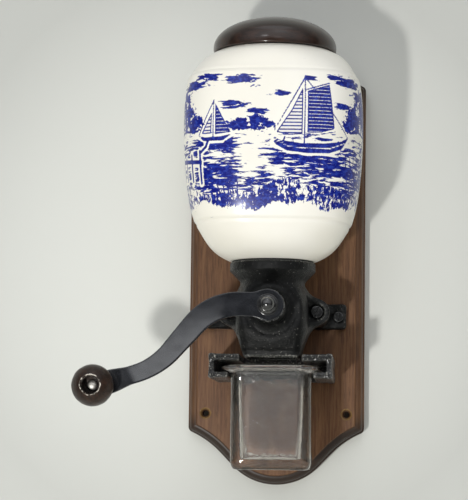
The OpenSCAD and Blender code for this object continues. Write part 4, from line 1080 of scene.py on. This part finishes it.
def rounded_box_ring(width, depth, radius, height, steps=10):
    """A level ring of a box with round corners, about the cup's middle."""
    cx, cy = (cup_low[0] + cup_high[0]) / 2, (cup_low[1] + cup_high[1]) / 2
    a = np.linspace(0, math.pi / 2, steps)
    x = width / 2 - radius + radius * np.cos(a)
    y = depth / 2 - radius + radius * np.sin(a)
    ring = np.concatenate([np.stack([x, y], -1), np.stack([-x, y], -1)[::-1], np.stack([-x, -y], -1),
                           np.stack([x, -y], -1)[::-1]])
    return np.column_stack([ring + [cx, cy], np.full(len(ring), height)])


def make_cup():
    """The cup: base, straight sides, tapered flange, and a cavity that narrows towards its floor. The value thick
    marks the side walls, seen edge-on and given painted shade, and the thick base."""
    rim_w, rim_d = cup_high[0] - cup_low[0], cup_high[1] - cup_low[1]
    top, base = cup_high[2], cup_low[2]
    w, d = 56.8, 52.0
    bore_w, bore_d = w - 11.2, d - 11.2
    rings = [(w - 9, d - 9, 5.5, base + 0.4), (w - 7, d - 7, 6, base), (w - 4, d - 4, 7, base + 0.5),
             (w - 1.8, d - 1.8, 7.6, base + 2.2), (w - 0.4, d - 0.4, 8, base + 5), (w, d, 8, base + 9),
             (w, d, 8, top - 6.6), (w + 0.6, d + 0.6, 8, top - 5.4), (w + 2.4, d + 2, 8, top - 4.6),
             (rim_w - 2.4, rim_d - 2, 6.6, top - 3.3), (rim_w - 0.5, rim_d - 0.5, 6.4, top - 2.7),
             (rim_w, rim_d, 6.4, top - 2.1), (rim_w - 0.4, rim_d - 0.4, 6.2, top - 1.3),
             (rim_w - 3, rim_d - 3, 5.6, top - 0.4), (rim_w - 6, rim_d - 6, 5, top),
             (bore_w + 2.4, bore_d + 2.4, 7, top - 0.1), (bore_w + 0.8, bore_d + 0.8, 6.4, top - 0.8),
             (bore_w, bore_d, 4.4, top - 2), (bore_w - 3.4, bore_d - 3.4, 3.8, base + 9.2),
             (bore_w - 4.2, bore_d - 4.2, 3.6, base + 8.0), (bore_w - 6, bore_d - 6, 3, base + 7.5)]
    points, quads = loft([rounded_box_ring(*ring) for ring in rings])
    side = np.abs(points[:, 0] - (cup_low[0] + cup_high[0]) / 2) - w / 2
    # Painted shade on the left and right walls, which are seen edge-on; the base is truly thick.
    thick = np.maximum(smooth((side + 7) / 2.2), smooth((base + 6 - points[:, 2]) / 3)) * smooth((top - 4 - points[:, 2]) / 3)
    return add_piece("pressed_cup", (points, quads), "cup", cup_glass, ["glass_cup"], 45,
                     values={"thick": thick})


make_cup()


# Crank

EYE_R = 10.8
CRANK_T = 3.5
crank_back = face_y - span("crank_washer")[1][1] - CRANK_T
joggle = face_y - span("knob_washer")[1][1] - crank_back - CRANK_T
ELBOW = np.array([-38, 0.7])
KNEE = np.array([-75, -44])


def round_corner(before, corner, after, radius, steps=12):
    """Points of an arc of this radius that touches both arms of a corner."""
    u = (before - corner) / np.linalg.norm(before - corner)
    v = (after - corner) / np.linalg.norm(after - corner)
    half = math.acos(u @ v) / 2
    centre = corner + (u + v) / np.linalg.norm(u + v) * radius / math.sin(half)
    p = corner + u * radius / math.tan(half) - centre
    q = corner + v * radius / math.tan(half) - centre
    start = math.atan2(p[1], p[0])
    turn = (math.atan2(q[1], q[0]) - start + 3 * math.pi) % (2 * math.pi) - math.pi
    a = start + turn * np.linspace(0, 1, steps)
    return centre + radius * np.stack([np.cos(a), np.sin(a)], -1)


crank_end = np.array([knob_x, knob_z - shaft_z])
crank_line = np.concatenate([[(0, 0)], round_corner(np.zeros(2), ELBOW, KNEE, 40, 16),
                             round_corner(ELBOW, KNEE, crank_end, 50), [crank_end]])


def crank_field(x, d, z):
    """Distance to the crank: a flat bar along the crank's line, rounded ends, and a joggle towards the front."""
    z = z - shaft_z
    away = np.hypot(x, z)
    half = 8.4 + (6.3 - 8.4) * smooth((away - 31) / 74)
    half = half + 1.8 * smooth((26 - np.hypot(x - crank_end[0], z - crank_end[1])) / 14)
    plan = away - EYE_R
    best = np.full(x.shape, np.inf)
    for a, b in zip(crank_line, crank_line[1:]):
        e = b - a
        t = np.clip(((x - a[0]) * e[0] + (z - a[1]) * e[1]) / (e @ e), 0, 1)
        best = np.minimum(best, np.hypot(x - a[0] - e[0] * t, z - a[1] - e[1] * t))
    plan = blend_min(plan, best - half, 4)
    out = joggle * blend_max(np.zeros(1), blend_min((away - 31) / 74, np.ones(1), 0.05), 0.05)
    slab = np.abs(d - crank_back - CRANK_T / 2 - out) * 0.985 - CRANK_T / 2
    body = blend_max(plan, slab, 0.5)
    for hole in (np.maximum(np.abs(x), np.abs(z)) - 3.5, np.hypot(x - crank_end[0], z - crank_end[1]) - 2.52):
        body = np.maximum(body, -hole)
    return body


def make_crank():
    low = (crank_end[0] - 7, crank_back, knob_z - 7)
    high = (EYE_R, crank_back + joggle + CRANK_T, shaft_z + EYE_R)
    return add_piece("crank_bar", cast_shape(crank_field, low, high, 0.45), "crank", crank_steel,
                     ["crank_arm"], 50, [(0.05, 6, 9)])


make_crank()


def on_shaft(depth):
    """A point on the shaft's axis, at a depth in front of the board."""
    return (0, face_y - depth, shaft_z)


def make_crank_nut():
    """The domed nut: a round base with a small step, then a ball end."""
    back = face_y - span("crank_washer")[0][1]
    rise = np.linspace(0, math.pi / 2, 12)
    profile = [(0, 0), (6.1, 0), (6.3, 0.2), (6.3, 1.6), (6.1, 2), (5.3, 2.4), (5, 2.7)]
    profile += [(5 * math.cos(a), 5.8 + 5 * math.sin(a)) for a in rise]
    return add_piece("domed_nut", turned(profile, on_shaft(back), "front", 64), "crank", dark_steel,
                     ["crank_nut"], 35, [(0.05, 1.5, 10)])


make_crank_nut()


def make_crank_washer():
    profile = rounded([(3.1, 0), (7.4, 0), (7.4, 1.2), (3.1, 1.2), (3.1, 0)], [0.3, 0.3, 0])
    back = face_y - span("crank_washer")[1][1]
    return add_piece("crank_washer_disc", turned(profile, on_shaft(back), "front", 64), "crank",
                     dark_steel, ["crank_washer"], 35)


make_crank_washer()


def make_adjusting_nut():
    """The grind-setting nut: a round nut with twelve grip grooves."""
    def grooves(angle, radius, height):
        dip = np.exp(-((angle * 12 / (2 * math.pi)) % 1 - 0.5) ** 2 / 0.012)
        return 1 - 0.09 * dip * (radius > 10)
    low, high = span("adjusting_nut")
    length = high[1] - low[1]
    profile = [(5.05, 0)] + rounded([(5.05, 0), (11.4, 0), (11.4, length), (5.05, length)], [0.9, 1.3]).tolist()
    profile += [(5.05, length), (5.05, 0)]
    shape = turned(profile, on_shaft(face_y - high[1]), "front", 240, grooves)
    return add_piece("setting_nut", shape, "adjuster", dark_steel, ["adjusting_nut"], 40)


make_adjusting_nut()


# Knob

def make_knob():
    """The knob: a barrel with a deep recess whose rim is worn and chipped."""
    low, high = span("knob")
    length = high[1] - low[1] - 0.1
    mid, knob_r, recess_r, deep = length / 2, (high[0] - low[0]) / 2 - 0.14, 6.1, 13.0
    long = mid + 2
    end = math.asin(mid / long)
    lean_to = np.linspace(-end, end, 40)
    barrel = [(knob_r * math.cos(a), mid + long * math.sin(a)) for a in lean_to]
    profile = [(2.8, 0), (barrel[0][0] - 0.6, 0)] + barrel[1:-2]
    profile += rounded([barrel[-3], (barrel[-1][0] - 0.3, length), (recess_r + 0.7, length), (recess_r, length - 1.4),
                        (recess_r, length - deep)], [1.6, 0.5, 0.9]).tolist()[1:-1]
    profile += [(recess_r, length - k) for k in (2, 4, 7, 10, deep)] + [(2.8, length - deep), (2.8, 0)]
    shape = turned(profile, (knob_x, high[1], knob_z), "front", 128)
    return add_piece("turned_knob", shape, "knob", knob_wood, ["knob"], 35,
                     [(0.12, 3, 11), (0.06, 1.2, 12)])


make_knob()


def make_knob_pin():
    """The pin: a plain shank with a round riveted head in the recess and a flat one behind the crank."""
    low, high = span("knob_pin")
    length = high[1] - low[1]
    rise = np.linspace(0, math.pi / 2, 10)
    profile = [(0, 0), (3.0, 0), (4.2, 1.2), (2.4, 1.2), (2.4, length - 2.3), (3.6, length - 2.2)]
    profile += [(3.7 * math.cos(a), length - 1.6 + 1.6 * math.sin(a)) for a in rise]
    shape = turned(profile, (knob_x, high[1], knob_z), "front", 48)
    return add_piece("riveted_pin", shape, "crank", bright_steel, ["knob_pin"], 35,
                     [(0.06, 1.0, 13)])


make_knob_pin()


# Screws

def screw_field(x, d, z, head_r, top, turn, slot=1.1):
    """Distance to a slotted cheese head: its eased disc less the slot."""
    along = x * math.cos(turn) + z * math.sin(turn)
    across = -x * math.sin(turn) + z * math.cos(turn)
    head = rod_field(x, z, d, head_r, top - 2.4, top, 0.6)
    cut = box_field(along, d, across, (-9, top - 1.3, -slot / 2), (9, top + 9, slot / 2), 0.1)
    return blend_max(head, -cut, 0.3)


def make_screws(name, node, x_places, z_place, head_r, shank_r, turns):
    """Two slotted screws: a finely gridded head each, and a plain shank behind it."""
    low, high = span(node)
    top = face_y - low[1]
    end = face_y - high[1]
    parts = []
    for x_place, turn in zip(x_places, turns):
        field = lambda x, d, z: screw_field(x - x_place, d, z - z_place, head_r, top, turn)
        box = head_r
        parts.append(cast_shape(field, (x_place - box, top - 2.4, z_place - box), (x_place + box, top, z_place + box),
                                0.22))
        shank = [(0, end), (shank_r - 0.4, end), (shank_r, end + 0.6), (shank_r, top - 2.0), (0, top - 2.0)]
        parts.append(turned(shank, (x_place, face_y, z_place), "front", 32))
    return add_piece(name, merged(*parts), "stand", dark_steel, [node], 40, [(0.05, 0.9, 14)])


make_screws("ear_screws", "housing_screws", (-EAR_X, EAR_X), shaft_z, HEAD_R, 2.5, (math.radians(62), math.radians(62)))
LUG_X = span("board_screws")[1][0] - 3.8
make_screws("lug_screws", "board_screws", (-LUG_X, LUG_X), shaft_z, 3.8, 2.2, (math.radians(35), math.radians(80)))


# Materials of the pieces that keep the frame's own shape
kept = {"lid_seal": seal_rubber, "jar_gasket": seal_rubber, "jar_clamp_ring": black_iron,
        "clamp_screws": bright_steel, "bracket_screws": dark_steel, "crank_shaft": bright_steel,
        "burr_cone": burr_iron, "cone_pin": bright_steel, "burr_ring": burr_iron, "rear_bush": bush_brass,
        "front_bush": bush_brass, "thrust_washer": bright_steel, "adjusting_spring": bright_steel,
        "knob_washer": dark_steel}
for node, material in kept.items():
    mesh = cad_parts[node].data
    mesh.materials.clear()
    mesh.materials.append(material)


# Camera: where the photograph was taken from
EYE = Vector((78.9, -1592.7, -152.3)) * MM
AIM = Vector((-32.24, -18, 5.27)) * MM
ROLL = math.radians(0.688)
LENS = 153.5

ahead = (AIM - EYE).normalized()
right = ahead.cross(Vector((0, 0, 1))).normalized()
above = right.cross(ahead)
camera_x = right * math.cos(ROLL) + above * math.sin(ROLL)
camera_y = above * math.cos(ROLL) - right * math.sin(ROLL)
camera = bpy.data.objects.new("camera", bpy.data.cameras.new("camera"))
camera.data.lens = LENS
camera.data.sensor_width = 36
camera.data.clip_end = 20
camera.matrix_world = Matrix((camera_x, camera_y, -ahead)).transposed().to_4x4()
camera.location = EYE
bpy.context.scene.collection.objects.link(camera)
bpy.context.scene.camera = camera


# Stage: a pale wall behind the board, seen from the front only, and a pale floor far below

def stage_plane(name, corners, colour, one_sided):
    """A flat stage piece with a faintly uneven tone; one-sided, it carries a painted pool of light, brighter round the
    mill and darker away from it, and it's clear from behind and to rays that start right at it, so that the
    board's back isn't black."""
    mesh = bpy.data.meshes.new(name)
    mesh.from_pydata(corners, [], [tuple(range(len(corners)))])
    material, tree, shader = new_material(name)
    tone = stretched(tree, noise(tree, object_place(tree), 2.5, 2, 0.5), 0.3, 0.7)
    darker = tuple(0.96 * c for c in colour[:3]) + (1,)
    tone = mixed_colour(tree, tone, darker, colour)
    if one_sided:
        # Painted pool of light: the tone is scaled up round the mill and down with the square of the distance from it.
        away = put(tree, "VectorMath", {0: object_place(tree), 1: (-0.0335, WALL_Y, 0.007)}, operation="DISTANCE")
        away = calc(tree, "MULTIPLY", calc(tree, "POWER", away.outputs["Value"], 2.0), -5.6)
        away = put(tree, "Clamp", {0: calc(tree, "ADD", away, 1.04), 1: 0.76, 2: 1.07}).outputs[0]
        tone = put(tree, "VectorMath", {0: tone, 3: away}, operation="SCALE").outputs[0]
    finish_with(tree, shader, tone, Roughness=0.9, Specular_IOR_Level=0.2)
    if one_sided:
        near = calc(tree, "LESS_THAN", put(tree, "LightPath").outputs["Ray Length"], 0.0012)
        unseen = calc(tree, "MAXIMUM", put(tree, "NewGeometry").outputs["Backfacing"], near)
        clear = put(tree, "BsdfTransparent")
        chosen = put(tree, "MixShader", {0: unseen, 1: shader.outputs[0], 2: clear.outputs[0]})
        output = next(n for n in tree.nodes if n.type == "OUTPUT_MATERIAL")
        tree.links.new(chosen.outputs[0], output.inputs[0])
    mesh.materials.append(material)
    plane = bpy.data.objects.new(name, mesh)
    bpy.context.scene.collection.objects.link(plane)
    return plane


WALL_Y = board_high[1] * MM + 0.0005
FLOOR_Z = -0.9
stage_plane("wall", [(-2.5, WALL_Y, FLOOR_Z), (2.5, WALL_Y, FLOOR_Z), (2.5, WALL_Y, 2.5), (-2.5, WALL_Y, 2.5)],
            seen(226, 227, 221), True)
stage_plane("floor", [(-2.5, -3, FLOOR_Z), (2.5, -3, FLOOR_Z), (2.5, WALL_Y, FLOOR_Z), (-2.5, WALL_Y, FLOOR_Z)],
            seen(226, 226, 220), False)


def soft_light(name, place, aim, size, power, colour=(1, 1, 1)):
    """A square area lamp at a place, turned towards a point."""
    lamp = bpy.data.lights.new(name, "AREA")
    lamp.shape = "SQUARE"
    lamp.size = size
    lamp.energy = power
    lamp.color = colour
    made = bpy.data.objects.new(name, lamp)
    made.location = place
    made.rotation_euler = (Vector(aim) - Vector(place)).to_track_quat("-Z", "Y").to_euler()
    bpy.context.scene.collection.objects.link(made)
    return made


soft_light("window", (-0.392, -1.475, -0.52), (0, -0.05, 0), 0.075, 10.6, (1.0, 0.99, 0.965))


# Bright patches of the room, set for highlights in glossy skins: direction, reach of the soft edge, its start and
# strength
ROOM_LIGHTS = (((-0.27, -0.74, -0.615), 0.26, 0.08, 0.6), ((-0.26, -0.86, 0.43), 0.12, 0.06, 7.0),
               ((0.15, -0.52, 0.84), 0.3, 0.1, 0.9), ((0.12, -0.957, 0.26), 0.18, 0.1, 1.3))


def make_world():
    """A room that is bright above and to the sides, dark round the straight way ahead, and dim below."""
    world = bpy.data.worlds.new("room")
    world.use_nodes = True
    tree = world.node_tree
    way = put(tree, "SeparateXYZ", {0: put(tree, "TexCoord").outputs["Generated"]}).outputs
    front = stretched(tree, calc(tree, "MULTIPLY", way[1], -1.0), 0.0, 0.9)
    up = stretched(tree, way[2], -0.35, 0.5)
    behind = stretched(tree, way[1], 0.0, 0.3, 0.0, 0.4)
    ceiling = stretched(tree, way[2], 0.4, 0.85, 0.0, 0.55)
    ceiling = calc(tree, "ADD", ceiling, stretched(tree, way[2], 0.9, 0.97, 0.0, 1.2))
    middle_part = stretched(tree, calc(tree, "MULTIPLY", way[1], -1.0), 0.92, 0.988, 1.6, 0.05)
    light = calc(tree, "MULTIPLY", calc(tree, "MULTIPLY", front, up), middle_part)
    for middle, outer, inner, strength in ROOM_LIGHTS:
        away = put(tree, "VectorMath", {0: put(tree, "TexCoord").outputs["Generated"], 1: middle}, operation="DISTANCE")
        light = calc(tree, "ADD", light, stretched(tree, away.outputs["Value"], outer, inner, 0.0, strength))
    light = calc(tree, "ADD", calc(tree, "ADD", light, behind), calc(tree, "ADD", ceiling, 0.07))
    light = calc(tree, "MULTIPLY", light, 0.7)
    room = tree.nodes["Background"]
    room.inputs[0].default_value = seen(250, 252, 255)
    tree.links.new(light, room.inputs[1])
    return world


bpy.context.scene.world = make_world()
bpy.context.scene.view_settings.view_transform = "Standard"
